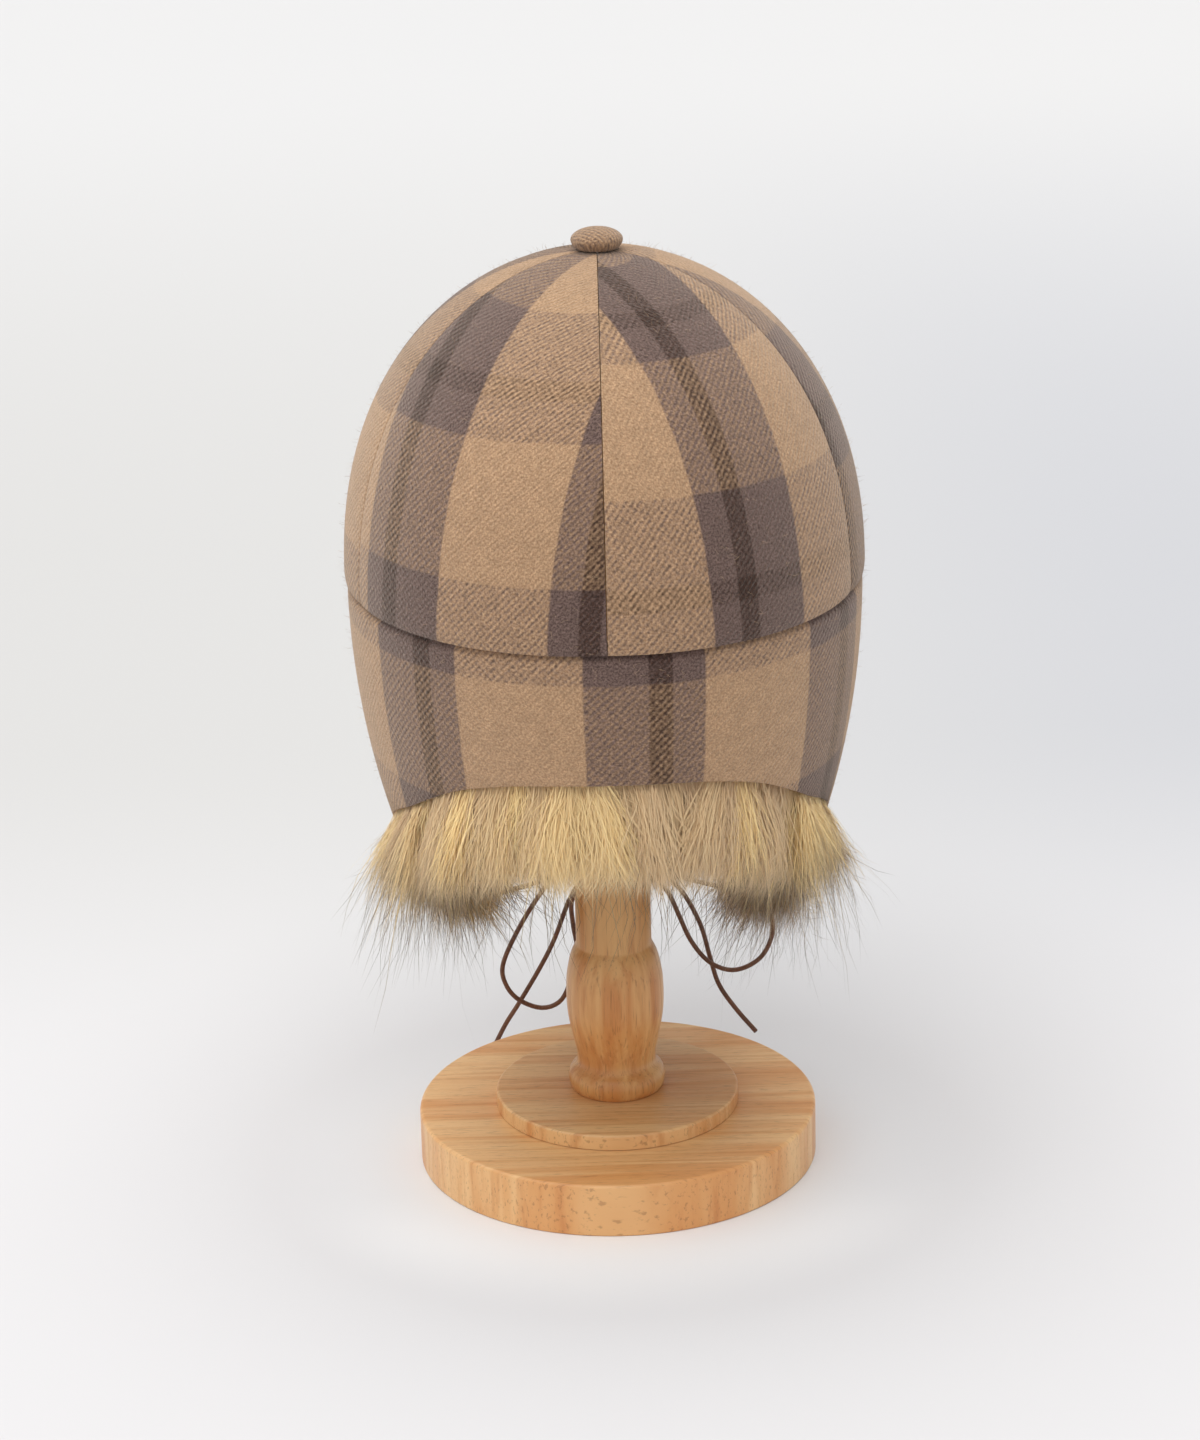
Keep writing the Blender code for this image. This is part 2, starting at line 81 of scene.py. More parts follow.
# How each panel lies on the plaid, in millimetres: warp offset at its middle line, warp
# drift for each millimetre up, weft offset at the hem
PANEL_CUTS = (
    (48.0, -0.06, -72.0), (35.0, 0.03, 33.0), (12.0, 0.00, -60.0),
    (60.0, 0.00, -60.0), (58.0, -0.03, -45.0), (21.0, 0.05, 0.5),
)

# Button on top
BUTTON_DIAMETER = 0.0185
BUTTON_HEIGHT = 0.0075
BUTTON_STEP = 0.0006
BUTTON_SIDES = 64
# How the button lies on the plaid, in millimetres
BUTTON_CUT = (66.0, 36.0)
BUTTON_FORM = (
    (0.00, 1.00), (0.31, 0.97), (0.59, 0.89), (0.81, 0.76), (0.95, 0.60), (1.00, 0.42),
    (0.93, 0.18), (0.78, 0.00), (0.00, 0.00),
)

# Flap round the back and the ears
FLAP_HALF_WIDTH = 0.0929
FLAP_HALF_LENGTH = 0.1035
FLAP_TUCK = 0.004
FLAP_EASE = 0.0030
FLAP_SWEEP = radians(131)
EAR_FLAP_LENGTH = 0.1275
FLAP_INWARD = 0.027
FLAP_INWARD_POWER = 2.1
# Share of the sweep at the hem, share of the sweep at the lower edge, share of the ear flap
FLAP_COLUMNS = (
    (0.00, 0.00, 0.373), (0.10, 0.10, 0.378), (0.19, 0.19, 0.395), (0.28, 0.28, 0.435),
    (0.37, 0.36, 0.495), (0.45, 0.43, 0.552), (0.527, 0.50, 0.601), (0.62, 0.58, 0.665),
    (0.70, 0.65, 0.760), (0.76, 0.70, 0.865), (0.82, 0.745, 0.955), (0.87, 0.79, 1.000),
    (0.91, 0.835, 0.985), (0.95, 0.88, 0.890), (0.98, 0.92, 0.730), (1.00, 0.955, 0.520),
)
FLAP_COLUMN_STEPS = 5
FLAP_ROWS = 34
FLAP_ROW_CROWDING = 1.25
FLAP_EDGE_ROUNDING = 0.0008
# The flap's plaid, in millimetres: warp and weft offsets, and its warp repeat over the crown's
FLAP_CUT = (34.0, 42.0)
FLAP_WARP_SCALE = 88.0 / 90.0
# Turns a place on the flap into a direction straight outwards
OUTWARDS = np.array((1 / FLAP_HALF_WIDTH ** 2, 1 / FLAP_HALF_LENGTH ** 2, 0.0))

# Peak
PEAK_LENGTH = 0.056
PEAK_DROP = 0.019
PEAK_HALF_ANGLE = radians(46)
PEAK_THICKNESS = 0.003
PEAK_ROUNDNESS = 2.6
PEAK_SPREAD = 0.22
PEAK_BOW = 0.35
PEAK_FALL_POWER = 1.25
PEAK_COLUMNS = 72
PEAK_ROWS = 24
PEAK_EDGE_ROUNDING = 0.0009
# The peak's plaid, in millimetres: warp and weft offsets
PEAK_CUT = (20.0, 220.0)

# Plaid: repeats and stripes in millimetres, each stripe from its own start
WARP_REPEAT = 88.0
WARP_NARROW = 11.5
WARP_DARK = 8.3
WARP_BAND = 41.5
WEFT_REPEAT = 102.0
WEFT_NARROW = 15.0
WEFT_DARK = 8.0
WEFT_BAND = 53.0
# The first stripe begins after this margin, so that none is split where a repeat starts again
PLAID_MARGIN = 10.0
STRIPE_SOFTNESS = 0.5
TWILL_PERIOD = 2.76

# Fur
FUR_SEED = 7
FUR_LENGTH = 0.042
FUR_SHORTEST = 0.006
BACKING_THICKNESS = 0.0015
BACKING_ROUNDING = 0.0005
# Share of the way from the back seam to the front hem, length as a share of the fur's, slope
# of the outer hairs outwards, slope of the inner hairs inwards, slope along the edge's plane
PILE_FORM = np.array((
    (0.00, 1.02, 0.10, 0.35, 0.10), (0.17, 1.02, 0.18, 0.40, 0.15), (0.24, 0.92, 0.40, 0.45, 0.45),
    (0.32, 0.76, 0.66, 0.60, 0.70), (0.41, 0.66, 0.78, 0.75, 0.75), (0.50, 0.56, 0.72, 0.85, 0.65),
    (0.57, 0.50, 0.52, 1.00, 0.55), (0.64, 0.56, 0.40, 0.85, 0.60), (0.74, 0.58, 0.30, 0.70, 0.85),
    (0.88, 0.42, 0.15, 0.50, 0.95), (1.00, 0.34, 0.10, 0.40, 1.00),
))
LOCKS = 19
TUFTS = 62
TUFT_OVERLAP = 0.30
# How far a lock, and a tuft in it, departs from the rest: in tone, lean along the edge, lean
# outwards and length
GROUP_SPREAD = ((0.24, 0.24), (0.24, 0.22), (0.17, 0.24), (0.07, 0.09))
TUFT_BEND = 0.0032
HAIR_BEND = 0.0014
# Share of the hairs against share of the edge, so that they are denser at the ear
HAIR_PLACES = ((0.0, 0.36, 0.82, 1.0), (0.0, 0.2, 0.66, 1.0))
# Share of the edge against how level its fur is cut: it is level at the neck
LEVEL_CUT = ((0.0, 0.17, 0.26, 1.0), (1.0, 1.0, 0.0, 0.0))
# Depth of the outermost and the innermost roots behind the cloth's face
ROOT_DEPTHS = (0.0010, 0.0055)
HEAD_RADIUS = 0.095
DARK_TIPS = 0.60
# A hair's places along its length, and its width at all but the tip as a share of the widest
STRAND_STEPS = np.array((0.0, 0.28, 0.55, 0.80, 1.0))
STRAND_TAPER = np.array((0.8, 1.0, 0.85, 0.55))
# How far the hairs' flat sides turn upwards and how uneven they are
FACING_RISE = 0.45
FACING_SPREAD = 0.22
# Coats of hair, inner to outer, then the long guard hairs. Reach is how far up inside a coat
# starts, thick and lift how far it leans inwards and outwards, loose how far its hairs stray
COAT_FIELDS = ("name", "count", "width", "reach", "thick", "lift", "loose", "length", "uneven",
               "even_power", "sag", "curl", "pull")
*COATS, GUARD_COAT = [dict(zip(COAT_FIELDS, row)) for row in (
    ("fur_under", 21000, 0.00036, 0.012, 1.1, 0.0, 1.0, 0.82, 0.3, 2, 0.2, 0.0012, 0.3),
    ("fur_pile_1", 24000, 0.00027, 0.008, 1.0, 0.0, 1.1, 1.04, 0.45, 3, 0.2, 0.0018, 0.60),
    ("fur_pile_2", 24000, 0.00023, 0.006, 0.9, 0.04, 1.5, 1.05, 0.55, 2, 0.25, 0.0026, 0.70),
    ("fur_pile_3", 17000, 0.00021, 0.003, 0.2, 0.16, 2.2, 0.95, 0.75, 1, 0.35, 0.0028, 0.50),
    ("fur_guard", 7000, 0.00028, 0.005, 0.8, 0.1, 1.5, 1.85, 0.5, 1, 0.6, 0.0022, 0.9),
)]
GUARD_TONES = (0.0, 0.6)
GUARD_DARKNESS = (0.8, 1.0)
GUARDS_AT_NECK = 0.10
# Half width and half length past which a hair bends back, and the most that it still gains
FUR_REACH = (0.1000, 0.1110)
FUR_BEND = 0.0075
# The hairs on the flap's inner side, and how far they stand off it at the root and the tip
INSIDE_HAIRS = 15000
INSIDE_WIDTH = 0.00034
INSIDE_LENGTHS = (0.016, 0.024)
INSIDE_LIFTS = (0.9, 0.15)

# Loose fibres on the cloth
FUZZ_SEED = 11
CROWN_FIBRES = 5200
FLAP_FIBRES = 2800
FIBRE_LENGTHS = (0.0012, 0.0034)
FIBRE_WIDTH = 0.00007
FIBRE_ROOT = 0.0002
FIBRE_STANDS = 0.8
FIBRE_CURL = 0.5

# Stand
BASE_DIAMETER = 0.150
BASE_THICKNESS = 0.0202
BASE_ROUNDING = 0.0015
DISC_DIAMETER = 0.0915
DISC_THICKNESS = 0.0058
DISC_ROUNDING = 0.0010
POST_DIAMETER = 0.0282
POST_TURNING_DIAMETER = 0.0366
POST_TURNING_HEIGHT = 0.0585
POST_FORM = (
    (0.772, 1.000), (0.882, 0.925), (0.945, 0.846), (0.985, 0.768), (0.998, 0.690),
    (1.000, 0.610), (0.985, 0.532), (0.950, 0.455), (0.900, 0.375), (0.846, 0.295),
    (0.806, 0.230), (0.820, 0.175), (0.950, 0.130), (1.000, 0.080), (0.975, 0.025),
    (0.930, 0.000),
)
DOME_CLEARANCE = 0.028
DOME_HEIGHT = 0.048
DOME_ROUNDING = 0.0035
DOME_STEPS = 24
POST_STEP = 0.0012
TURNED_SIDES = 144
# Turned forms keep an edge where two faces meet at more than this
SHARP_ANGLE = radians(38)

# Floor, and the sky's strength low down and above, with the heights between which it changes
FLOOR_RADIUS = 9.0
FLOOR_SIDES = 64
SKY_COLOUR = (0.97, 0.98, 1.0, 1.0)
SKY_STRENGTH = (0.58, 0.38)
SKY_RISE = (0.05, 0.40)

# Leather cords: their routes are chosen points, from one end to the other
CORD_DIAMETER = 0.0019
CORD_STEP = 0.0019
CORD_ROUNDNESS = 4
ROUTE_STEPS = 12
KNOT_CENTRE = Vector((0.0, -0.0750, 0.0920))
KNOT_TURNS = 3
KNOT_TURN_STEPS = 16
KNOT_WIDTH = 0.0048
KNOT_DEPTH = 0.0044
KNOT_HEIGHT = 0.0044
KNOT_SHIFT = 0.0007
TIE_LEFT = (
    (0.0628, -0.0180, 0.1028), (0.0625, -0.0190, 0.0987), (0.0600, -0.0220, 0.0950),
    (0.0540, -0.0280, 0.0922), (0.0440, -0.0372, 0.0903), (0.0320, -0.0480, 0.0893),
    (0.0200, -0.0586, 0.0896), (0.0100, -0.0672, 0.0908), (0.0033, -0.0722, 0.0925),
)
TIE_RIGHT = tuple((-x, y, z) for x, y, z in TIE_LEFT)
LOOP_LEFT = (
    (0.0040, -0.0757, 0.0936), (0.0095, -0.0762, 0.0936), (0.0180, -0.0767, 0.0882),
    (0.0275, -0.0770, 0.0753), (0.0371, -0.0775, 0.0596), (0.0440, -0.0780, 0.0440),
    (0.0432, -0.0782, 0.0350), (0.0381, -0.0782, 0.0282), (0.0290, -0.0780, 0.0246),
    (0.0213, -0.0775, 0.0280), (0.0168, -0.0768, 0.0385), (0.0144, -0.0762, 0.0497),
    (0.0157, -0.0757, 0.0608), (0.0160, -0.0754, 0.0710), (0.0115, -0.0752, 0.0800),
    (0.0060, -0.0750, 0.0860), (0.0029, -0.0749, 0.0888),
)
TAIL_LEFT = (
    (0.0018, -0.0782, 0.0899), (0.0060, -0.0812, 0.0862), (0.0112, -0.0822, 0.0790),
    (0.0170, -0.0825, 0.0690), (0.0235, -0.0826, 0.0520), (0.0298, -0.0826, 0.0395),
    (0.0383, -0.0826, 0.0250), (0.0438, -0.0824, 0.0163), (0.0482, -0.0822, 0.0078),
)
LOOP_RIGHT = (
    (-0.0029, -0.0749, 0.0888), (-0.0080, -0.0752, 0.0862), (-0.0150, -0.0757, 0.0815),
    (-0.0218, -0.0762, 0.0740), (-0.0264, -0.0768, 0.0630), (-0.0304, -0.0774, 0.0530),
    (-0.0360, -0.0778, 0.0446), (-0.0419, -0.0780, 0.0402), (-0.0479, -0.0780, 0.0389),
    (-0.0539, -0.0780, 0.0407), (-0.0590, -0.0778, 0.0448), (-0.0623, -0.0775, 0.0512),
    (-0.0634, -0.0770, 0.0585), (-0.0612, -0.0766, 0.0680), (-0.0550, -0.0762, 0.0778),
    (-0.0440, -0.0760, 0.0868), (-0.0290, -0.0759, 0.0930), (-0.0140, -0.0758, 0.0952),
    (-0.0040, -0.0757, 0.0936),
)
TAIL_RIGHT = (
    (-0.0018, -0.0782, 0.0899), (-0.0070, -0.0812, 0.0878), (-0.0150, -0.0824, 0.0830),
    (-0.0265, -0.0828, 0.0728), (-0.0345, -0.0828, 0.0577), (-0.0385, -0.0827, 0.0425),
    (-0.0418, -0.0826, 0.0310), (-0.0483, -0.0824, 0.0205), (-0.0564, -0.0822, 0.0102),
)


def linear(red, green, blue):
    """A colour given 0 to 255 a channel, as the shader's linear values."""
    channels = [c / 255 for c in (red, green, blue)]
    return tuple(c / 12.92 if c <= 0.04045 else ((c + 0.055) / 1.055) ** 2.4
                 for c in channels) + (1.0,)


class Nodes:
    """Adds and joins the nodes of one material."""

    def __init__(self, name, roughness, specular=0.5, **others):
        self.material = bpy.data.materials.new(name)
        self.material.use_nodes = True
        self.tree = self.material.node_tree
        self.shader = self.tree.nodes["Principled BSDF"]
        self.set(Roughness=roughness, Specular_IOR_Level=specular, **others)

    def set(self, **inputs):
        """Sets the shader's inputs and gives the material."""
        for name, value in inputs.items():
            self.put(self.shader.inputs[name.replace("_", " ")], value)
        return self.material

    def put(self, socket, value):
        """Joins a node's result to the socket, or else sets its value."""
        if isinstance(value, bpy.types.NodeSocket):
            self.tree.links.new(value, socket)
        else:
            socket.default_value = value

    def add(self, kind, inputs, **settings):
        node = self.tree.nodes.new(kind)
        for name, value in settings.items():
            setattr(node, name, value)
        for name, value in inputs.items():
            self.put(node.inputs[name], value)
        return node

    def math(self, operation, first, second=0.0, third=0.0):
        node = self.add("ShaderNodeMath", {0: first, 1: second, 2: third}, operation=operation)
        return node.outputs[0]

    def mix(self, share, first, second, blend="MIX"):
        node = self.tree.nodes.new("ShaderNodeMix")
        node.data_type = "RGBA"
        node.blend_type = blend
        for index, value in ((0, share), (6, first), (7, second)):
            self.put(node.inputs[index], value)
        return node.outputs[2]

    def ease(self, value, low, high, to_low=0.0, to_high=1.0):
        inputs = {"Value": value, "From Min": low, "From Max": high, "To Min": to_low,
                  "To Max": to_high}
        return self.add("ShaderNodeMapRange", inputs, interpolation_type="SMOOTHSTEP").outputs[0]

    def noise(self, vector, scale, detail=3.0, roughness=0.5, distortion=0.0):
        inputs = {"Vector": vector, "Scale": scale, "Detail": detail, "Roughness": roughness,
                  "Distortion": distortion}
        return self.add("ShaderNodeTexNoise", inputs).outputs["Fac"]

    def place(self):
        return self.add("ShaderNodeTexCoord", {}).outputs["Object"]

    def stretched(self, vector, scales, turn=(0.0, 0.0, 0.0)):
        inputs = {"Vector": vector, "Scale": scales, "Rotation": turn}
        return self.add("ShaderNodeMapping", inputs).outputs[0]

    def bump(self, height, distance, strength=1.0):
        inputs = {"Height": height, "Distance": distance, "Strength": strength}
        return self.add("ShaderNodeBump", inputs).outputs[0]


def stripe(nodes, place, begin, width):
    """1 inside a stripe of the plaid, 0 outside, with soft edges."""
    start = PLAID_MARGIN + begin
    end = start + width
    rise = nodes.ease(place, start - STRIPE_SOFTNESS, start + STRIPE_SOFTNESS)
    fall = nodes.ease(place, end - STRIPE_SOFTNESS, end + STRIPE_SOFTNESS, 1.0, 0.0)
    return nodes.math("MULTIPLY", rise, fall)


def plaid_wool():
    nodes = Nodes("plaid_wool", 0.92, 0.18, Sheen_Weight=0.45, Sheen_Roughness=0.50,
                  Sheen_Tint=(1.0, 0.88, 0.76, 1.0))
    flat = nodes.add("ShaderNodeUVMap", {}, uv_map="cloth").outputs[0]
    drift = nodes.add("ShaderNodeTexNoise", {"Vector": flat, "Scale": 60.0, "Detail": 2.0})
    offset = nodes.add("ShaderNodeVectorMath", {0: drift.outputs["Color"], 1: (0.5, 0.5, 0.5)},
                       operation="SUBTRACT")
    moved = nodes.add("ShaderNodeVectorMath", {0: offset.outputs[0], 1: (0.0012, 0.0012, 0.0),
                                               2: flat}, operation="MULTIPLY_ADD")
    axes = nodes.add("ShaderNodeSeparateXYZ", {0: moved.outputs[0]})
    across = nodes.math("MULTIPLY", axes.outputs[0], 1000.0)
    up = nodes.math("MULTIPLY", axes.outputs[1], 1000.0)

    warp = nodes.math("FLOORED_MODULO", nodes.math("ADD", across, PLAID_MARGIN), WARP_REPEAT)
    weft = nodes.math("FLOORED_MODULO", nodes.math("ADD", up, PLAID_MARGIN), WEFT_REPEAT)
    warp_band = stripe(nodes, warp, 0.0, WARP_BAND)
    warp_dark = stripe(nodes, warp, WARP_NARROW, WARP_DARK)
    weft_band = stripe(nodes, weft, 0.0, WEFT_BAND)
    weft_dark = stripe(nodes, weft, WEFT_NARROW, WEFT_DARK)

    fibre = nodes.noise(flat, 1300.0, 3.0, 0.75)
    melange = nodes.ease(fibre, 0.36, 0.66)
    camel_yarn = nodes.mix(melange, linear(162, 126, 94), linear(203, 168, 133))
    taupe_yarn = nodes.mix(melange, linear(79, 61, 56), linear(130, 107, 99))
    dark_yarn = nodes.mix(melange, linear(34, 19, 15), linear(76, 49, 38))
    warp_colour = nodes.mix(warp_dark, nodes.mix(warp_band, camel_yarn, taupe_yarn), dark_yarn)
    weft_colour = nodes.mix(weft_dark, nodes.mix(weft_band, camel_yarn, taupe_yarn), dark_yarn)

    # Twill lines climb to the right, broken into dots by the yarns
    climb = nodes.math("SUBTRACT", across, up)
    wobble = nodes.math("MULTIPLY", nodes.noise(flat, 330.0, 1.0), 1.5)
    phase = nodes.math("MULTIPLY", climb, 2 * pi / TWILL_PERIOD)
    line = nodes.math("SINE", nodes.math("ADD", phase, wobble))
    dot_phase = nodes.math("MULTIPLY", nodes.math("ADD", across, up), 2 * pi / TWILL_PERIOD)
    dots = nodes.math("SINE", dot_phase)
    weave = nodes.math("MULTIPLY_ADD", dots, 0.42, line)
    clear = nodes.ease(nodes.noise(flat, 280.0, 3.0, 0.6), 0.34, 0.66, 0.25, 1.1)
    speckle = nodes.math("MULTIPLY_ADD", nodes.noise(flat, 620.0, 3.0, 0.7), 5.0, -2.5)
    raised = nodes.math("MULTIPLY_ADD", weave, clear, speckle)
    shown = nodes.ease(raised, -2.0, 1.3, 0.20, 0.96)
    cloth = nodes.mix(shown, weft_colour, warp_colour)

    mottle_and_twill_shade = nodes.ease(nodes.noise(flat, 190.0, 5.0, 0.65), 0.3, 0.7, 0.91, 1.08)
    # Painted shade: darker in the valleys between the twill ridges and a little lighter on them, on top
    # of the random mottle
    mottle_and_twill_shade = nodes.math("MULTIPLY", mottle_and_twill_shade, nodes.ease(raised, -2.2, 1.6, 0.87, 1.06))
    shade = nodes.add("ShaderNodeCombineXYZ", {0: mottle_and_twill_shade, 1: mottle_and_twill_shade, 2: mottle_and_twill_shade}).outputs[0]
    height = nodes.math("MULTIPLY_ADD", raised, 0.30, nodes.noise(flat, 1200.0, 3.0, 0.7))
    return nodes.set(Base_Color=nodes.mix(1.0, cloth, shade, "MULTIPLY"),
                     Normal=nodes.bump(height, 0.00045, 0.8))


def fur_hair():
    """Hair colour from the strands' own values: along the hair, hair tone, tuft tone, darkness."""
    nodes = Nodes("fur_hair", 0.62, 0.35, Sheen_Weight=0.15)
    values = nodes.add("ShaderNodeAttribute", {}, attribute_name="pile")
    parts = nodes.add("ShaderNodeSeparateColor", {0: values.outputs["Color"]})
    along, tone, tuft = parts.outputs[0], parts.outputs[1], parts.outputs[2]
    darkness = values.outputs["Alpha"]
    root = nodes.mix(tuft, linear(198, 162, 124), linear(246, 210, 148))
    gold = nodes.mix(tone, linear(242, 206, 146), linear(255, 234, 180))
    streak = nodes.mix(nodes.ease(tuft, 0.08, 0.58), linear(198, 166, 138), linear(255, 226, 162))
    body = nodes.mix(0.6, gold, streak)
    rise = nodes.ease(along, 0.0, 0.40)
    light = nodes.mix(rise, root, body)
    worn = nodes.mix(nodes.ease(along, 0.75, 1.0, 0.0, 0.5), light, linear(206, 190, 168))
    tip = nodes.mix(tone, linear(36, 28, 26), linear(98, 80, 68))
    reach = nodes.math("MULTIPLY", nodes.ease(along, 0.30, 0.85), darkness)
    return nodes.set(Base_Color=nodes.mix(reach, worn, tip))


def fur_hide():
    nodes = Nodes("fur_hide", 0.9, 0.2)
    place = nodes.place()
    loops = nodes.noise(place, 700.0, 3.0, 0.6)
    hide = nodes.mix(nodes.ease(loops, 0.3, 0.7), linear(104, 76, 50), linear(150, 116, 78))
    return nodes.set(Base_Color=hide, Normal=nodes.bump(loops, 0.0006))


def cord_leather():
    nodes = Nodes("cord_leather", 0.5, 0.5)
    place = nodes.place()
    grain = nodes.noise(place, 1400.0, 4.0, 0.6)
    patches = nodes.noise(place, 90.0, 2.0)
    worn = nodes.mix(nodes.ease(patches, 0.35, 0.7), linear(84, 50, 34), linear(112, 72, 50))
    return nodes.set(Base_Color=nodes.mix(nodes.ease(grain, 0.4, 0.75), worn, linear(136, 94, 68)),
                     Roughness=nodes.ease(grain, 0.3, 0.7, 0.42, 0.6),
                     Normal=nodes.bump(grain, 0.0002, 0.7))


def turned_wood(name, streaks, pores, turn, light, middle, warm):
    """Light hardwood in three tones, its grain drawn out along one axis by the scales."""
    nodes = Nodes(name, 0.4, 0.45, Coat_Weight=0.12, Coat_Roughness=0.3)
    place = nodes.place()
    grain_place = nodes.stretched(place, streaks, turn)
    bands = nodes.noise(grain_place, 1.0, 3.0, 0.55, 0.4)
    fine = nodes.noise(nodes.stretched(grain_place, (2.0, 5.0, 5.0)), 1.0, 4.0, 0.6)
    pore = nodes.noise(nodes.stretched(place, pores, turn), 1.0, 2.0, 0.6)
    base = nodes.mix(nodes.ease(bands, 0.35, 0.62), middle, light)
    base = nodes.mix(nodes.ease(fine, 0.48, 0.74, 0.0, 0.5), base, warm)
    dashes = nodes.ease(pore, 0.56, 0.70, 0.0, 0.40)
    return nodes.set(Base_Color=nodes.mix(dashes, base, linear(140, 84, 48)),
                     Roughness=nodes.ease(fine, 0.3, 0.7, 0.34, 0.48),
                     Normal=nodes.bump(pore, 0.0002, 0.35))


def pale_floor():
    """White floor with painted light and shade: greyer away from the object, cooler on the -X side,
    palest before the base.
    """
    nodes = Nodes("pale_floor", 0.9, 0.2)
    axes = nodes.add("ShaderNodeSeparateXYZ", {0: nodes.place()})
    across, back = axes.outputs[0], nodes.math("MULTIPLY", axes.outputs[1], -1.0)
    middle = nodes.ease(back, 0.0, 0.5)
    far = nodes.ease(back, 0.7, 2.6)
    side = nodes.ease(nodes.math("MULTIPLY", across, -1.0), -0.1, 0.35)
    distance = nodes.add("ShaderNodeVectorMath", {0: nodes.place()}, operation="LENGTH")
    # Painted light: lighter round the base and palest before it, over the shadow that the base and the
    # cap cast
    rim = nodes.ease(distance.outputs["Value"], 0.085, 0.14)
    painted_glow = nodes.ease(axes.outputs[1], 0.03, 0.09)
    shaded = nodes.mix(painted_glow, (0.76, 0.765, 0.78, 1.0), (0.88, 0.88, 0.885, 1.0))
    front = nodes.mix(rim, shaded, (0.690, 0.683, 0.692, 1.0))
    # Painted shade: greyer towards the back and far off, and cooler on the -X side
    white = nodes.mix(middle, front, (0.600, 0.595, 0.587, 1.0))
    cool = nodes.mix(middle, front, (0.532, 0.537, 0.560, 1.0))
    near = nodes.mix(side, white, cool)
    return nodes.set(Base_Color=nodes.mix(far, near, (0.675, 0.672, 0.672, 1.0)))


def add_piece(data, material, slot, *replaced):
    """A piece of the object: it rides on the only body and takes its finish from the material. The slot
    is not used.
    """
    piece = bpy.data.objects.new(data.name, data)
    data.materials.append(material)
    bpy.context.scene.collection.objects.link(piece)
    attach(piece, "root")
    if replaced:
        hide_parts(*replaced)
    return piece


def grid_mesh(name, points, flat=None, closed=False):
    """Smooth surface through a grid of points, with the flat cloth's places as its UV map."""
    rows, columns = points.shape[:2]
    mesh = bpy.data.meshes.new(name)
    index = np.arange(rows * columns).reshape(rows, columns)
    if closed:
        index = np.concatenate((index, index[:, :1]), axis=1)
    quads = np.stack((index[:-1, :-1], index[:-1, 1:], index[1:, 1:], index[1:, :-1]), axis=-1)
    mesh.from_pydata(points.reshape(-1, 3).tolist(), [], quads.reshape(-1, 4).tolist())
    if flat is not None:
        layer = mesh.uv_layers.new(name="cloth")
        corners = flat.reshape(-1, 2)[quads.reshape(-1)]
        layer.data.foreach_set("uv", corners.astype(np.float32).ravel())
    mesh.shade_smooth()
    return mesh


def wall(piece, thickness, rounding):
    """A cloth wall with soft edges, inwards from the outer face."""
    solid = piece.modifiers.new("Wall", "SOLIDIFY")
    solid.thickness = thickness
    solid.offset = -1.0
    solid.use_even_offset = True
    soft = piece.modifiers.new("Soft edge", "BEVEL")
    soft.width = rounding
    soft.segments = 3
    soft.limit_method = "ANGLE"
    soft.angle_limit = radians(50)


def smooth_points(chosen, steps):
    """The chosen points, with smooth points between them."""
    ends = [2 * chosen[0] - chosen[1]] + chosen + [2 * chosen[-1] - chosen[-2]]
    fine = []
    for a, b, c, d in zip(ends, ends[1:], ends[2:], ends[3:]):
        for k in range(steps):
            t = k / steps
            fine.append(0.5 * (2 * b + (c - a) * t + (2 * a - 5 * b + 4 * c - d) * t ** 2
                               + (3 * b - a - 3 * c + d) * t ** 3))
    fine.append(chosen[-1])
    return fine


def smooth_route(points, step):
    """Even points on a smooth curve through the chosen points of a route."""
    fine = smooth_points([Vector(p) for p in points], ROUTE_STEPS)
    lengths = [0.0]
    for first, second in zip(fine, fine[1:]):
        lengths.append(lengths[-1] + (second - first).length)
    count = max(2, round(lengths[-1] / step))
    route = []
    index = 0
    for k in range(count + 1):
        target = lengths[-1] * k / count
        while index < len(fine) - 2 and lengths[index + 1] < target:
            index += 1
        span = lengths[index + 1] - lengths[index]
        route.append(fine[index].lerp(fine[index + 1], (target - lengths[index]) / span))
    return route


def around(angle, half_width, half_length, height):
    return Vector((half_width * sin(angle), half_length * cos(angle), height))


def seam_dip(angle):
    """Depth of the valley at the panel seams, nothing at the middle of a panel."""
    turn = angle % (2 * pi)
    for start, end in zip(SEAMS, SEAMS[1:]):
        if turn <= end:
            break
    across = (turn - start) / (end - start)
    return SEAM_DIP * (1 - sqrt(max(0.0, sin(pi * across))))


def crown_point(angle, rise):
    """Outer face of the crown: rise runs from 0 at the hem to 1 at the top."""
    climb = rise * pi / 2
    height = CROWN_HEIGHT * sin(climb) ** (2 / CROWN_EXPONENT)
    roll = HEM_ROLL * max(0.0, 1 - height / HEM_BAND) ** 2
    inset = seam_dip(angle) + roll
    return around(angle, (CROWN_HALF_WIDTH - inset) * cos(climb),
                  (CROWN_HALF_LENGTH - inset) * cos(climb), HEM_HEIGHT + height)


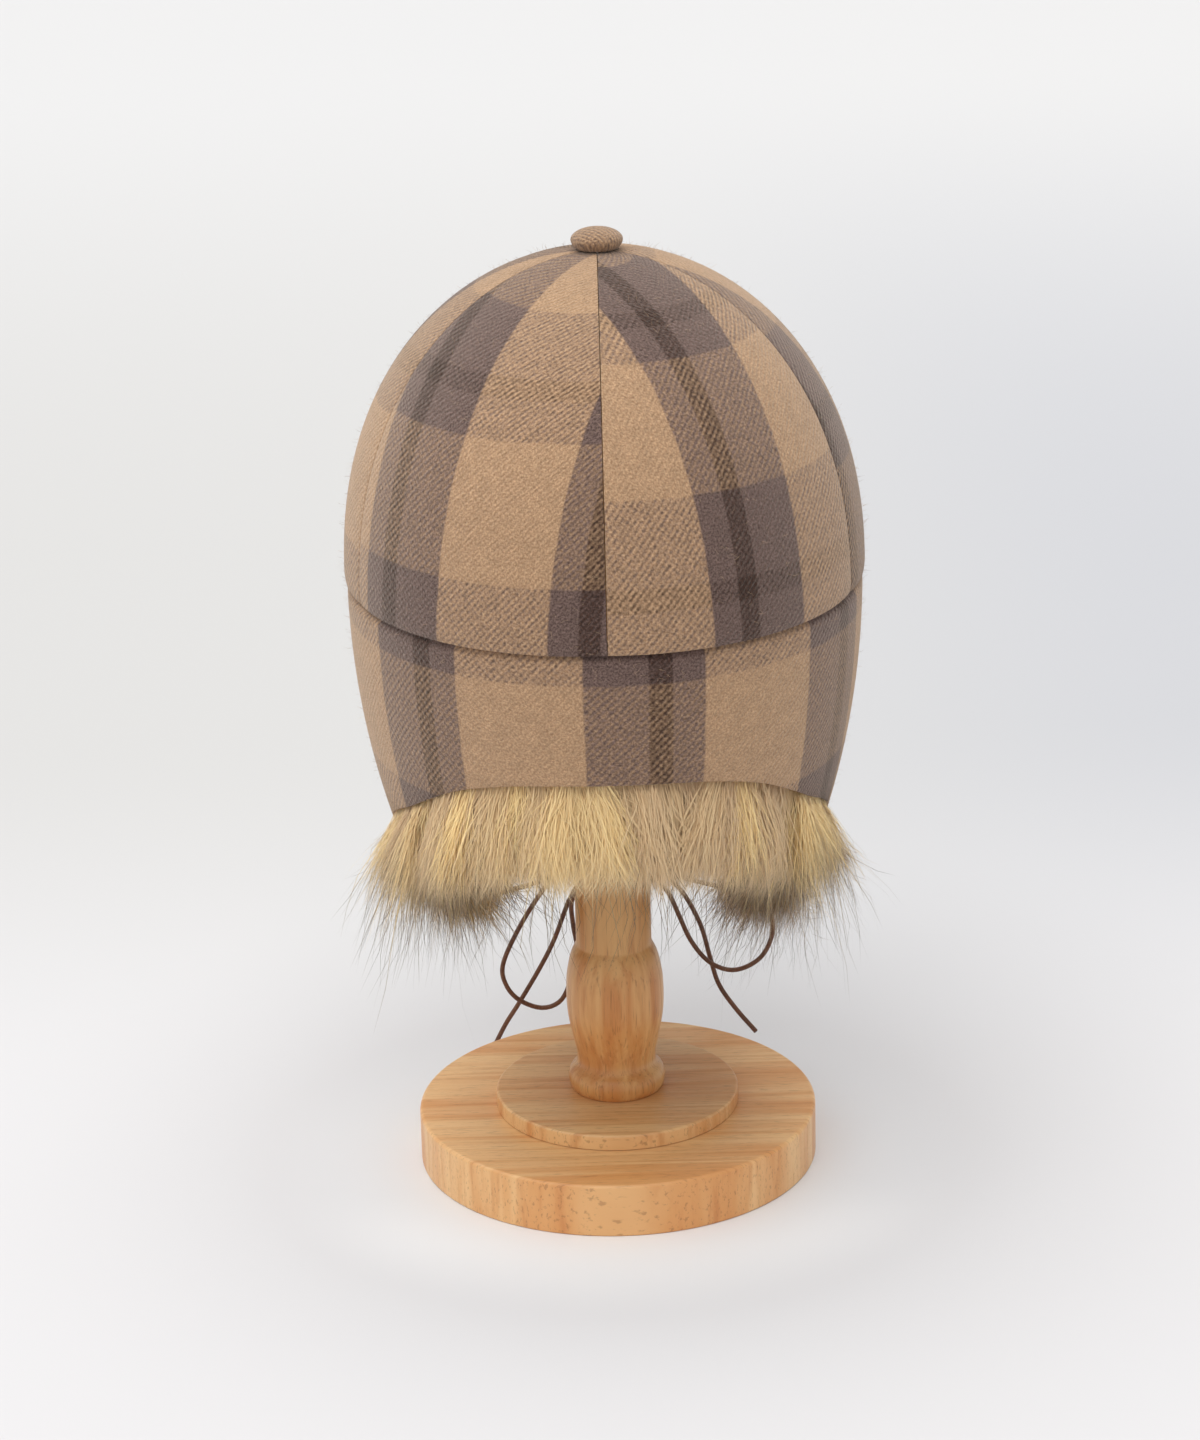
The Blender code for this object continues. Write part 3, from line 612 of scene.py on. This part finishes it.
def flap_point(angle, drop, inset=0.0):
    """Outer face of the flap: drop is the depth below the hem as a share of the ear flap's."""
    lean = FLAP_INWARD * max(0.0, drop) ** FLAP_INWARD_POWER
    ease = min(1.0, max(0.0, 1 - drop * EAR_FLAP_LENGTH / FLAP_EASE))
    ease = ease * ease * (3 - 2 * ease)
    tucked = HEM_ROLL + CLOTH + HEM_CLEARANCE + seam_dip(angle)
    inward_width = ease * (FLAP_HALF_WIDTH - CROWN_HALF_WIDTH + tucked)
    inward_length = ease * (FLAP_HALF_LENGTH - CROWN_HALF_LENGTH + tucked)
    return around(angle, FLAP_HALF_WIDTH - lean - inward_width - inset,
                  FLAP_HALF_LENGTH - lean - inward_length - inset,
                  HEM_HEIGHT - drop * EAR_FLAP_LENGTH)


def flat_lengths(points):
    """Length along each column of a grid of points, from its first row."""
    steps = np.linalg.norm(np.diff(points, axis=0), axis=2)
    return np.concatenate((np.zeros((1, points.shape[1])), np.cumsum(steps, axis=0)))


def build_crown(wool):
    tip_rise = 1 - CROWN_TIP_RADIUS / CROWN_HALF_LENGTH * 2 / pi
    rises = [tip_rise * (i / PANEL_ROWS) ** ROW_CROWDING for i in range(PANEL_ROWS + 1)]
    shares = []
    for c in range(PANEL_COLUMNS + 1):
        place = COLUMN_CROWDING + (1 - 2 * COLUMN_CROWDING) * c / PANEL_COLUMNS
        shares.append(0.5 - 0.5 * cos(pi * place) / cos(pi * COLUMN_CROWDING))
    for number, (start, end) in enumerate(zip(SEAMS, SEAMS[1:])):
        rows = []
        angles = []
        for rise in rises:
            margin = asin(GAP / 2 / crown_point(0, rise).y)
            span = end - start - 2 * margin
            turns = [start + margin + span * share for share in shares]
            rows.append([crown_point(turn, rise) for turn in turns])
            angles.append(turns)
        points = np.array(rows)
        height = flat_lengths(points)
        radius = np.hypot(points[..., 0], points[..., 1])
        warp, drift, weft = PANEL_CUTS[number]
        middle = (start + end) / 2
        across = warp / 1000 + drift * height - (np.array(angles) - middle) * radius
        flat = np.stack((across, height + weft / 1000), axis=-1)
        mesh = grid_mesh(f"crown_cloth_{number + 1}", points[:, ::-1], flat[:, ::-1])
        panel = add_piece(mesh, wool, "plaid_wool", f"crown_panel_{number + 1}")
        wall(panel, CLOTH, CROWN_EDGE_ROUNDING)


def build_button(wool):
    bottom = HEM_HEIGHT + CROWN_HEIGHT + GAP
    profile = smooth_route([(BUTTON_DIAMETER / 2 * width, 0.0, bottom + BUTTON_HEIGHT * height)
                            for width, height in BUTTON_FORM[:-1]], BUTTON_STEP)
    mesh = turned_mesh("button_cloth", [(p.x, p.z) for p in profile] + [(0.0, bottom)], BUTTON_SIDES)
    layer = mesh.uv_layers.new(name="cloth")
    places = np.empty(len(mesh.vertices) * 3)
    mesh.vertices.foreach_get("co", places)
    corners = np.empty(len(mesh.loops), dtype=np.int32)
    mesh.loops.foreach_get("vertex_index", corners)
    places = places.reshape(-1, 3)
    radius = np.hypot(places[:, 0], places[:, 1])
    over_edge = radius + np.maximum(bottom + BUTTON_HEIGHT - places[:, 2], 0.0)
    stretch = over_edge / np.maximum(radius, 1e-6)
    flat = np.array(BUTTON_CUT) / 1000 + places[:, :2] * stretch[:, None] * np.array((-1.0, 1.0))
    layer.data.foreach_set("uv", flat[corners].astype(np.float32).ravel())
    add_piece(mesh, wool, "plaid_wool", "top_button")


def flap_columns():
    """The flap's columns from the back seam to the front, with smooth ones between them."""
    return smooth_points([np.array(row) for row in FLAP_COLUMNS], FLAP_COLUMN_STEPS)


def flap_grid(first_depth, inset):
    """Fine grid over the whole flap, from the right front edge to the left one."""
    half = flap_columns()
    columns = []
    for side, table in ((-1, half[:0:-1]), (1, half)):
        for hem_share, edge_share, drop in table:
            column = []
            for r in range(FLAP_ROWS + 1):
                depth = first_depth + (drop - first_depth) * (r / FLAP_ROWS) ** FLAP_ROW_CROWDING
                share = hem_share + (edge_share - hem_share) * max(0.0, depth / drop)
                column.append(flap_point(side * FLAP_SWEEP * share, depth, inset))
            columns.append(column)
    return np.array(columns).transpose(1, 0, 2)


def build_flap(wool):
    points = flap_grid(-FLAP_TUCK / EAR_FLAP_LENGTH, 0.0)
    hem = points[FLAP_ROWS // 4]
    steps = np.linalg.norm(np.diff(hem, axis=0), axis=1)
    around_hem = np.concatenate(((0.0,), np.cumsum(steps)))
    around_hem -= around_hem[len(around_hem) // 2]
    depth = HEM_HEIGHT - points[..., 2]
    angle = np.arctan2(points[..., 0], points[..., 1])
    hem_angle = np.arctan2(hem[:, 0], hem[:, 1])
    across = np.interp(angle, hem_angle, around_hem)
    warp, weft = FLAP_CUT
    flat = np.stack(((across + warp / 1000) * FLAP_WARP_SCALE, depth + weft / 1000), axis=-1)
    flap = add_piece(grid_mesh("flap_cloth", points, flat), wool, "plaid_wool", "flap")
    wall(flap, CLOTH, FLAP_EDGE_ROUNDING)


def build_peak(wool):
    """Crescent peak that comes out from under the front of the crown's hem."""
    root_inset = HEM_ROLL + SEAM_DIP + CLOTH
    rows = []
    for r in range(PEAK_ROWS + 1):
        s = r / PEAK_ROWS
        row = []
        for c in range(PEAK_COLUMNS + 1):
            across = -cos(pi * c / PEAK_COLUMNS)
            root = around(pi + across * PEAK_HALF_ANGLE, CROWN_HALF_WIDTH - root_inset,
                          CROWN_HALF_LENGTH - root_inset, HEM_HEIGHT - GAP)
            reach = PEAK_LENGTH * sqrt(max(0.0, 1 - abs(across) ** PEAK_ROUNDNESS)) + CLOTH
            forward = Vector((root.x * PEAK_SPREAD, -PEAK_LENGTH, 0.0)).normalized()
            bow = PEAK_BOW * PEAK_DROP * across ** 2
            fall = (PEAK_DROP * s ** PEAK_FALL_POWER + bow * s) * reach / PEAK_LENGTH
            row.append(root + forward * reach * s - Vector((0.0, 0.0, fall)))
        rows.append(row)
    points = np.array(rows)
    flat = points[..., :2] + np.array(PEAK_CUT) / 1000
    peak = add_piece(grid_mesh("peak_cloth", points, flat), wool, "plaid_wool", "peak")
    wall(peak, PEAK_THICKNESS, PEAK_EDGE_ROUNDING)


def turned_mesh(name, profile, sides):
    """Closed body of revolution from (radius, height) pairs that run down its outer side."""
    inner = [(radius, height) for radius, height in profile if radius > 0]
    turns = np.arange(sides) * 2 * pi / sides
    radii = np.array([radius for radius, _ in inner])[:, None]
    heights = np.array([height for _, height in inner])[:, None]
    ring = np.stack((radii * np.cos(turns), radii * np.sin(turns),
                     np.broadcast_to(heights, (len(inner), sides))), axis=-1)
    vertices = ring.reshape(-1, 3).tolist()
    top = len(vertices)
    vertices += [(0.0, 0.0, profile[0][1]), (0.0, 0.0, profile[-1][1])]
    faces = []
    for r in range(len(inner) - 1):
        for k in range(sides):
            n = (k + 1) % sides
            faces.append((r * sides + k, (r + 1) * sides + k, (r + 1) * sides + n, r * sides + n))
    last = (len(inner) - 1) * sides
    for k in range(sides):
        n = (k + 1) % sides
        faces.append((top, k, n))
        faces.append((top + 1, last + n, last + k))
    mesh = bpy.data.meshes.new(name)
    mesh.from_pydata(vertices, [], faces)
    mesh.shade_smooth()
    mesh.set_sharp_from_angle(angle=SHARP_ANGLE)
    return mesh


def arc(centre_radius, centre_height, radius, start, end, steps):
    """Points of a round edge in a turned profile, angles in degrees from outwards."""
    turns = [radians(start + (end - start) * i / steps) for i in range(steps + 1)]
    return [(centre_radius + radius * cos(turn), centre_height + radius * sin(turn))
            for turn in turns]


def build_stand():
    plank = turned_wood("plank_wood", (5.0, 95.0, 7.0), (160.0, 2200.0, 500.0),
                        (radians(-16), 0.0, radians(3)),
                        linear(240, 194, 136), linear(224, 160, 98), linear(200, 124, 66))
    post_wood = turned_wood("post_wood", (120.0, 120.0, 7.0), (1300.0, 1300.0, 60.0),
                            (0.0, radians(2), 0.0),
                            linear(232, 180, 116), linear(212, 144, 80), linear(188, 110, 54))
    radius = BASE_DIAMETER / 2
    profile = [(0.0, BASE_THICKNESS), (radius / 2, BASE_THICKNESS)]
    profile += arc(radius - BASE_ROUNDING, BASE_THICKNESS - BASE_ROUNDING, BASE_ROUNDING, 90, 0, 10)
    profile += arc(radius - BASE_ROUNDING / 2, BASE_ROUNDING / 2, BASE_ROUNDING / 2, 0, -90, 6)
    profile.append((0.0, 0.0))
    add_piece(turned_mesh("base_wood", profile, TURNED_SIDES), plank, "wood", "stand_base")

    floor = BASE_THICKNESS + GAP
    top = floor + DISC_THICKNESS
    radius = DISC_DIAMETER / 2
    profile = [(0.0, top)] + arc(radius - DISC_ROUNDING, top - DISC_ROUNDING, DISC_ROUNDING, 90, 0, 8)
    profile += [(radius, floor), (0.0, floor)]
    add_piece(turned_mesh("disc_wood", profile, TURNED_SIDES), plank, "wood", "stand_disc")

    foot = top + GAP
    dome_top = HEM_HEIGHT + CROWN_HEIGHT - CLOTH - GAP * 2
    dome_floor = dome_top - DOME_HEIGHT
    post_top = dome_floor - GAP
    turning = [(POST_TURNING_DIAMETER / 2 * width, 0.0, foot + POST_TURNING_HEIGHT * height)
               for width, height in POST_FORM]
    profile = [(0.0, post_top), (POST_DIAMETER / 2, post_top)]
    profile += [(p.x, p.z) for p in smooth_route(turning, POST_STEP)] + [(0.0, foot)]
    add_piece(turned_mesh("post_wood", profile, TURNED_SIDES // 2), post_wood, "wood", "stand_post")

    half_width = CROWN_HALF_WIDTH - DOME_CLEARANCE
    form_height = CROWN_HEIGHT * half_width / CROWN_HALF_WIDTH
    rounding_height = 1 - (DOME_HEIGHT - DOME_ROUNDING) / form_height
    lowest_climb = asin(rounding_height ** (CROWN_EXPONENT / 2))
    profile = [(0.0, dome_top)]
    for i in range(1, DOME_STEPS + 1):
        climb = pi / 2 + (lowest_climb - pi / 2) * i / DOME_STEPS
        height = form_height * (1 - sin(climb) ** (2 / CROWN_EXPONENT))
        profile.append((half_width * cos(climb), dome_top - height))
    profile += [(profile[-1][0] - DOME_ROUNDING, dome_floor), (0.0, dome_floor)]
    add_piece(turned_mesh("dome_wood", profile, TURNED_SIDES // 2), plank, "wood", "stand_dome")


def build_cords(leather):
    """The ties, the bow's loops and its tails, and the turns of the knot that holds them."""
    turns = []
    steps = KNOT_TURNS * KNOT_TURN_STEPS
    for i in range(steps + 1):
        turn = 2 * pi * i / KNOT_TURN_STEPS
        turns.append(KNOT_CENTRE + Vector((KNOT_WIDTH / 2 * cos(turn),
                                           KNOT_DEPTH / 2 * sin(turn) - KNOT_SHIFT,
                                           KNOT_HEIGHT * (i / steps - 0.5))))
    knot = add_piece(tube_curve("knot_leather", turns), leather, "cord_leather", "bow_knot")
    cords = (("tie_left", TIE_LEFT, "knot", [knot]), ("tie_right", TIE_RIGHT, "knot", []),
             ("loop_left", LOOP_LEFT, "knot", []), ("loop_right", LOOP_RIGHT, "knot", []),
             ("tail_left", TAIL_LEFT, "bare", []), ("tail_right", TAIL_RIGHT, "bare", []))
    for node, points, far_end, carried in cords:
        route = smooth_route(points, CORD_STEP)
        cord = add_piece(tube_curve(f"{node}_leather", route), leather, "cord_leather", node)


def tube_curve(name, route):
    curve = bpy.data.curves.new(name, "CURVE")
    curve.dimensions = "3D"
    curve.bevel_depth = CORD_DIAMETER / 2
    curve.bevel_resolution = CORD_ROUNDNESS
    curve.use_fill_caps = True
    spline = curve.splines.new("POLY")
    spline.points.add(len(route) - 1)
    for point, place in zip(spline.points, route):
        point.co = (*place, 1.0)
    spline.use_smooth = True
    return curve


class EdgeFrames:
    """Places and directions along half of the flap's free edge, back seam to front hem."""
    step = 0.001
    front_rows = 10
    front_share = 0.7

    def __init__(self, inset):
        points = [flap_point(FLAP_SWEEP * edge, drop, inset) for _, edge, drop in flap_columns()]
        hem_share, edge_share, drop = FLAP_COLUMNS[-1]
        for r in range(self.front_rows - 1, 0, -1):
            depth = drop * r / self.front_rows
            share = hem_share + (edge_share - hem_share) * depth / drop
            points.append(flap_point(FLAP_SWEEP * share, depth, inset))
        self.place = place = np.array(smooth_route(points, self.step))
        self.length = self.step * (len(place) - 1)
        self.share = np.linspace(0.0, 1.0, len(place))
        self.along = unit(np.gradient(place, axis=0))
        self.outwards = unit(place * OUTWARDS)
        away = np.cross(self.outwards, self.along)
        flip = (away[:, 2] > 0) | ((self.share > self.front_share) & (away[:, 1] > 0))
        away[flip] *= -1
        self.away = unit(away)

    def read(self, table, share):
        return np.stack([np.interp(share, self.share, table[:, k]) for k in range(3)], axis=-1)


def unit(vectors):
    return vectors / np.linalg.norm(vectors, axis=-1, keepdims=True)


def strand_mesh(name, lines, width, values):
    """Hairs as tapered ribbons: lines is hairs by 5 places.

    Width and the three values, tone, tuft tone and darkness, are one for all or one a hair.
    """
    count = len(lines)
    width = np.broadcast_to(width, count)
    random = np.random.default_rng(FUR_SEED + count)
    tangent = unit(np.gradient(lines, axis=1))
    facing = unit(lines[:, :1] * OUTWARDS)
    facing = facing + np.array((0.0, 0.0, FACING_RISE)) + random.normal(0, FACING_SPREAD, (count, 1, 3))
    side = unit(np.cross(tangent, np.broadcast_to(facing, tangent.shape)))
    half = side[:, :4] * (width[:, None, None] * STRAND_TAPER[None, :, None] / 2)
    points = np.empty((count, 9, 3))
    points[:, 0:8:2] = lines[:, :4] - half
    points[:, 1:8:2] = lines[:, :4] + half
    points[:, 8] = lines[:, 4]
    corners = np.array((0, 1, 3, 2, 2, 3, 5, 4, 4, 5, 7, 6, 6, 7, 8))
    loops = (np.arange(count)[:, None] * 9 + corners).ravel()
    starts = (np.arange(count)[:, None] * 15 + np.array((0, 4, 8, 12))).ravel()
    mesh = bpy.data.meshes.new(name)
    mesh.vertices.add(count * 9)
    mesh.vertices.foreach_set("co", points.astype(np.float32).ravel())
    mesh.loops.add(count * 15)
    mesh.loops.foreach_set("vertex_index", loops.astype(np.int32))
    mesh.polygons.add(count * 4)
    mesh.polygons.foreach_set("loop_start", starts.astype(np.int32))
    mesh.update(calc_edges=True)
    mesh.validate()
    mesh.shade_smooth()
    colour = np.empty((count, 9, 4))
    colour[..., 0] = np.repeat(STRAND_STEPS, 2)[:9]
    for channel, value in enumerate(values, 1):
        colour[..., channel] = np.broadcast_to(value, count)[:, None]
    pile = mesh.attributes.new("pile", "FLOAT_COLOR", "POINT")
    pile.data.foreach_set("color", colour.astype(np.float32).ravel())
    return mesh


def hair_groups(share, mirror, random):
    """The middle of each hair's tuft, and how far its lock and tuft depart from the rest."""
    tuft = (share * TUFTS + random.normal(0, TUFT_OVERLAP, len(share))).clip(0, TUFTS - 1).astype(int)
    centre = (tuft + 0.5) / TUFTS
    lock = tuft * LOCKS // TUFTS + np.where(mirror > 0, 0, LOCKS)
    tuft += np.where(mirror > 0, 0, TUFTS)
    group_random = np.random.default_rng(FUR_SEED)
    lock_values = group_random.normal(size=(4, 2 * LOCKS))[:, lock]
    tuft_values = group_random.normal(size=(4, 2 * TUFTS))[:, tuft]
    lock_spread, tuft_spread = np.array(GROUP_SPREAD).T[:, :, None]
    tone, sway, lift, length = lock_spread * lock_values + tuft_spread * tuft_values
    bend = TUFT_BEND * group_random.normal(size=2 * TUFTS)[tuft]
    return centre, (0.5 + tone).clip(0, 1), sway, lift, length, bend


def held_in(lines):
    """The lines, bent back where they pass the farthest that the fur reaches."""
    for axis, reach in enumerate(FUR_REACH):
        beyond = np.maximum(np.abs(lines[..., axis]) - reach, 0.0)
        held = FUR_BEND * np.tanh(beyond / FUR_BEND)
        lines[..., axis] -= np.sign(lines[..., axis]) * (beyond - held)
    return lines


def hair_paths(root, lengths, first, last):
    """Lines of hairs, each of which starts one way and ends another."""
    t = STRAND_STEPS[None, :, None]
    return root[:, None] + lengths * (first[:, None] * (t - t ** 2 / 2) + last[:, None] * t ** 2 / 2)


def edge_strands(frames, random, count, coat):
    """Hairs that leave the free edge: lines, tuft tones and how level each is cut."""
    share = np.interp(random.uniform(0.0, 1.0, count), *HAIR_PLACES)
    mirror = np.where(random.uniform(size=count) < 0.5, -1.0, 1.0)
    centre, tone, group_sway, group_lift, group_length, group_bend = hair_groups(share, mirror, random)
    length_share, splay, inward, blend = (np.interp(share, PILE_FORM[:, 0], column)
                                          for column in PILE_FORM[:, 1:].T)
    level = np.interp(share, *LEVEL_CUT)
    place = frames.read(frames.place, share)
    away = unit(frames.read(frames.away, share))
    outwards = unit(frames.read(frames.outwards, share))
    along = unit(frames.read(frames.along, share))

    # How each hair leans: outer layers stand off, inner ones lie in
    layer = random.uniform(0.0, 1.0, count) ** 1.3
    spread = (0.18 - 0.04 * level) * coat["loose"]
    lift = (splay + coat["lift"]) * (1 - 1.6 * layer) + group_lift * (1 - 0.4 * level)
    lift += random.normal(0, spread) - coat["thick"] * inward * layer
    sway = group_sway + random.normal(0, spread) + 0.16 * level * mirror
    early = random.uniform(0.4, 1.2, count)
    inside = coat["reach"] * random.uniform(0.0, 1.0, count) * (1 - early * lift).clip(0.1, 1.0)

    lengths = FUR_LENGTH * length_share * coat["length"]
    lengths *= 1 + (1 - level) * (group_length + random.normal(0, 0.16, count))
    lengths *= 1 - level * np.abs(random.normal(0, 0.07, count))
    lengths *= 1 - coat["uneven"] * random.uniform(0.0, 1.0, count) ** coat["even_power"]
    lengths = np.maximum(lengths, FUR_SHORTEST) + inside

    down = np.array((0.0, 0.0, -1.0))
    hang = unit(away * blend[:, None] + down * (1 - blend[:, None]))
    depth = ROOT_DEPTHS[0] + (ROOT_DEPTHS[1] - ROOT_DEPTHS[0]) * layer
    root = place - away * inside[:, None]
    root -= outwards * (depth + inside ** 2 / (2 * HEAD_RADIUS))[:, None]
    first = unit(hang + outwards * (early * lift)[:, None] + along * (early * sway)[:, None])
    last = unit(hang + outwards * ((1.5 - early) * lift)[:, None]
                + along * ((1.6 - early) * sway)[:, None] + coat["sag"] * down)
    lines = hair_paths(root, lengths[:, None, None], first, last)

    # Waves along the hair, and a pull towards the middle of its tuft
    t = STRAND_STEPS[None, :, None]
    wave = random.uniform(0, 2 * pi, (count, 1, 1))
    turns = random.uniform(3.0, 9.0, (count, 1, 1))
    ripple = coat["curl"] * np.sin(wave + t * turns) * t
    bend = group_bend + random.normal(0, HAIR_BEND, count)
    pull = coat["pull"] * (centre - share) * frames.length
    lines = lines + along[:, None] * (ripple + pull[:, None, None] * t ** 1.3
                                      + bend[:, None, None] * np.sin(2.2 * pi * t) * t)
    lines = lines + outwards[:, None] * (0.7 * coat["curl"] * np.sin(1.7 * wave + t * turns) * t)
    lines = held_in(lines)
    lines[..., 0] *= mirror[:, None]
    return lines, tone, level


def inner_strands(random, count):
    """Hairs over the inside of the flap, which lie down and stand a little inwards."""
    grid = flap_grid(0.06, CLOTH + 0.0016)
    row = random.uniform(0, grid.shape[0] - 4, count)
    column = random.uniform(0, grid.shape[1] - 1.001, count)
    r0, c0 = row.astype(int), column.astype(int)
    fr, fc = (row - r0)[:, None], (column - c0)[:, None]
    near = grid[r0, c0] * (1 - fc) + grid[r0, c0 + 1] * fc
    far = grid[r0 + 1, c0] * (1 - fc) + grid[r0 + 1, c0 + 1] * fc
    root = near * (1 - fr) + far * fr
    outwards = unit(root * OUTWARDS)
    down = np.array((0.0, 0.0, -1.0))
    sideways = np.cross(outwards, down)
    sway = random.normal(0, 0.16, (count, 1)) + 0.12 * np.sin(column * 0.9 + row * 0.5)[:, None]
    first = unit(down - outwards * INSIDE_LIFTS[0] + sideways * sway)
    last = unit(down - outwards * INSIDE_LIFTS[1] + sideways * sway * 1.5)
    return hair_paths(root, random.uniform(*INSIDE_LENGTHS, (count, 1, 1)), first, last)


def build_fur():
    hair = fur_hair()
    backing = add_piece(grid_mesh("fur_backing", flap_grid(0.02, CLOTH + GAP)), fur_hide(), "fur",
                        "fur_lining")
    wall(backing, BACKING_THICKNESS, BACKING_ROUNDING)
    frames = EdgeFrames(CLOTH * 1.2)
    random = np.random.default_rng(FUR_SEED)

    for coat in COATS:
        count = coat["count"]
        lines, tuft, level = edge_strands(frames, random, count, coat)
        darkness = (1 - level) * random.uniform(0.0, 1.0, count) ** 2 * DARK_TIPS
        tone = random.uniform(0.0, 1.0, count)
        widths = coat["width"] * random.uniform(0.7, 1.2, count)
        mesh = strand_mesh(coat["name"], lines, widths, (tone, tuft, darkness))
        add_piece(mesh, hair, "fur", "fur_lining")

    count = GUARD_COAT["count"]
    lines, tuft, level = edge_strands(frames, random, count, GUARD_COAT)
    kept = random.uniform(size=count) < GUARDS_AT_NECK + (1 - GUARDS_AT_NECK) * (1 - level)
    darkness = random.uniform(*GUARD_DARKNESS, count)
    tone = random.uniform(*GUARD_TONES, count)
    mesh = strand_mesh(GUARD_COAT["name"], lines[kept], GUARD_COAT["width"],
                       (tone[kept], tuft[kept], darkness[kept]))
    add_piece(mesh, hair, "fur", "fur_lining")

    lines = inner_strands(random, INSIDE_HAIRS)
    tone = random.uniform(0.0, 1.0, INSIDE_HAIRS)
    tuft = random.uniform(0.2, 0.8, INSIDE_HAIRS)
    mesh = strand_mesh("fur_inside", lines, INSIDE_WIDTH, (tone, tuft, 0.0))
    add_piece(mesh, hair, "fur", "fur_lining")


def wool_fibre():
    """Loose wool fibres, each of one tone."""
    nodes = Nodes("wool_fibre", 0.9, 0.2)
    values = nodes.add("ShaderNodeAttribute", {}, attribute_name="pile")
    tone = nodes.add("ShaderNodeSeparateColor", {0: values.outputs["Color"]}).outputs[1]
    return nodes.set(Base_Color=nodes.mix(tone, linear(126, 100, 82), linear(214, 184, 150)))


def build_fuzz():
    """Short loose fibres that stand off the crown and the flap."""
    random = np.random.default_rng(FUZZ_SEED)
    roots = []
    for turn, share in zip(random.uniform(0, 2 * pi, CROWN_FIBRES), random.uniform(0, 1, CROWN_FIBRES)):
        roots.append(crown_point(turn, asin(share ** (CROWN_EXPONENT / 2)) * 2 / pi))
    grid = flap_grid(0.02, 0.0)
    row = random.integers(0, grid.shape[0], FLAP_FIBRES)
    column = random.integers(0, grid.shape[1], FLAP_FIBRES)
    roots = np.concatenate((np.array(roots), grid[row, column]))
    count = len(roots)
    centre_height = np.where(np.arange(count) < CROWN_FIBRES, HEM_HEIGHT, roots[:, 2])
    normal = unit(np.stack((roots[:, 0] / CROWN_HALF_WIDTH ** 2, roots[:, 1] / CROWN_HALF_LENGTH ** 2,
                            (roots[:, 2] - centre_height) / CROWN_HEIGHT ** 2), axis=-1))
    lean = unit(random.normal(size=(count, 3)) + normal * FIBRE_STANDS)
    curl = unit(np.cross(lean, random.normal(size=(count, 3))))
    length = random.uniform(*FIBRE_LENGTHS, (count, 1, 1))
    t = STRAND_STEPS[None, :, None]
    path = lean[:, None] * t + curl[:, None] * FIBRE_CURL * t ** 2
    lines = (roots - normal * FIBRE_ROOT)[:, None] + length * path
    mesh = strand_mesh("wool_fuzz", lines, FIBRE_WIDTH, (random.uniform(0, 1, count), 0.0, 0.0))
    add_piece(mesh, wool_fibre(), "plaid_wool")


def build_camera():
    forward = Vector((0.0, -cos(CAMERA_PITCH), -sin(CAMERA_PITCH)))
    up = Vector((0.0, -sin(CAMERA_PITCH), cos(CAMERA_PITCH)))
    right = Vector((-1.0, 0.0, 0.0))
    image_right = right * cos(CAMERA_ROLL) - up * sin(CAMERA_ROLL)
    image_up = right * sin(CAMERA_ROLL) + up * cos(CAMERA_ROLL)
    data = bpy.data.cameras.new("camera")
    data.lens = CAMERA_LENS
    data.sensor_width = SENSOR
    data.clip_start = 0.01
    data.clip_end = 50.0
    camera = bpy.data.objects.new("camera", data)
    turn = Matrix((image_right, image_up, -forward)).transposed()
    camera.matrix_world = Matrix.Translation(CAMERA_PLACE) @ turn.to_4x4()
    bpy.context.scene.collection.objects.link(camera)
    bpy.context.scene.camera = camera


def add_light(name, place, width, energy, colour):
    """A far soft light, so that the floor is lit evenly: width is the angle that it fills."""
    data = bpy.data.lights.new(name, "SUN")
    data.angle = width
    data.energy = energy
    data.color = colour
    light = bpy.data.objects.new(name, data)
    light.rotation_euler = (-Vector(place)).to_track_quat("-Z", "Y").to_euler()
    bpy.context.scene.collection.objects.link(light)


def build_world():
    """Pale sky, a little brighter low down."""
    world = bpy.data.worlds.new("studio")
    world.use_nodes = True
    nodes = world.node_tree.nodes
    links = world.node_tree.links
    place = nodes.new("ShaderNodeTexCoord")
    axes = nodes.new("ShaderNodeSeparateXYZ")
    rise = nodes.new("ShaderNodeMapRange")
    rise.interpolation_type = "SMOOTHSTEP"
    for name, value in (("From Min", SKY_RISE[0]), ("From Max", SKY_RISE[1]),
                        ("To Min", SKY_STRENGTH[0]), ("To Max", SKY_STRENGTH[1])):
        rise.inputs[name].default_value = value
    background = nodes["Background"]
    background.inputs["Color"].default_value = SKY_COLOUR
    links.new(place.outputs["Generated"], axes.inputs[0])
    links.new(axes.outputs[2], rise.inputs["Value"])
    links.new(rise.outputs[0], background.inputs["Strength"])
    bpy.context.scene.world = world


def build_stage():
    turns = [2 * pi * k / FLOOR_SIDES for k in range(FLOOR_SIDES)]
    mesh = bpy.data.meshes.new("floor")
    mesh.from_pydata([(FLOOR_RADIUS * cos(t), FLOOR_RADIUS * sin(t), 0.0) for t in turns], [],
                     [tuple(range(FLOOR_SIDES))])
    mesh.materials.append(pale_floor())
    floor = bpy.data.objects.new("floor", mesh)
    bpy.context.scene.collection.objects.link(floor)
    build_world()
    add_light("window", (0.45, 1.0, 1.35), radians(60), 0.75, (1.0, 0.985, 0.965))
    add_light("overhead", (0.12, -0.05, 1.0), radians(80), 2.45, (1.0, 0.995, 0.985))
    bpy.context.scene.view_settings.view_transform = "Standard"


def main():
    build_camera()
    build_stage()
    build_cords(cord_leather())
    wool = plaid_wool()
    build_crown(wool)
    build_button(wool)
    build_flap(wool)
    build_peak(wool)
    build_fuzz()
    build_fur()
    build_stand()


main()
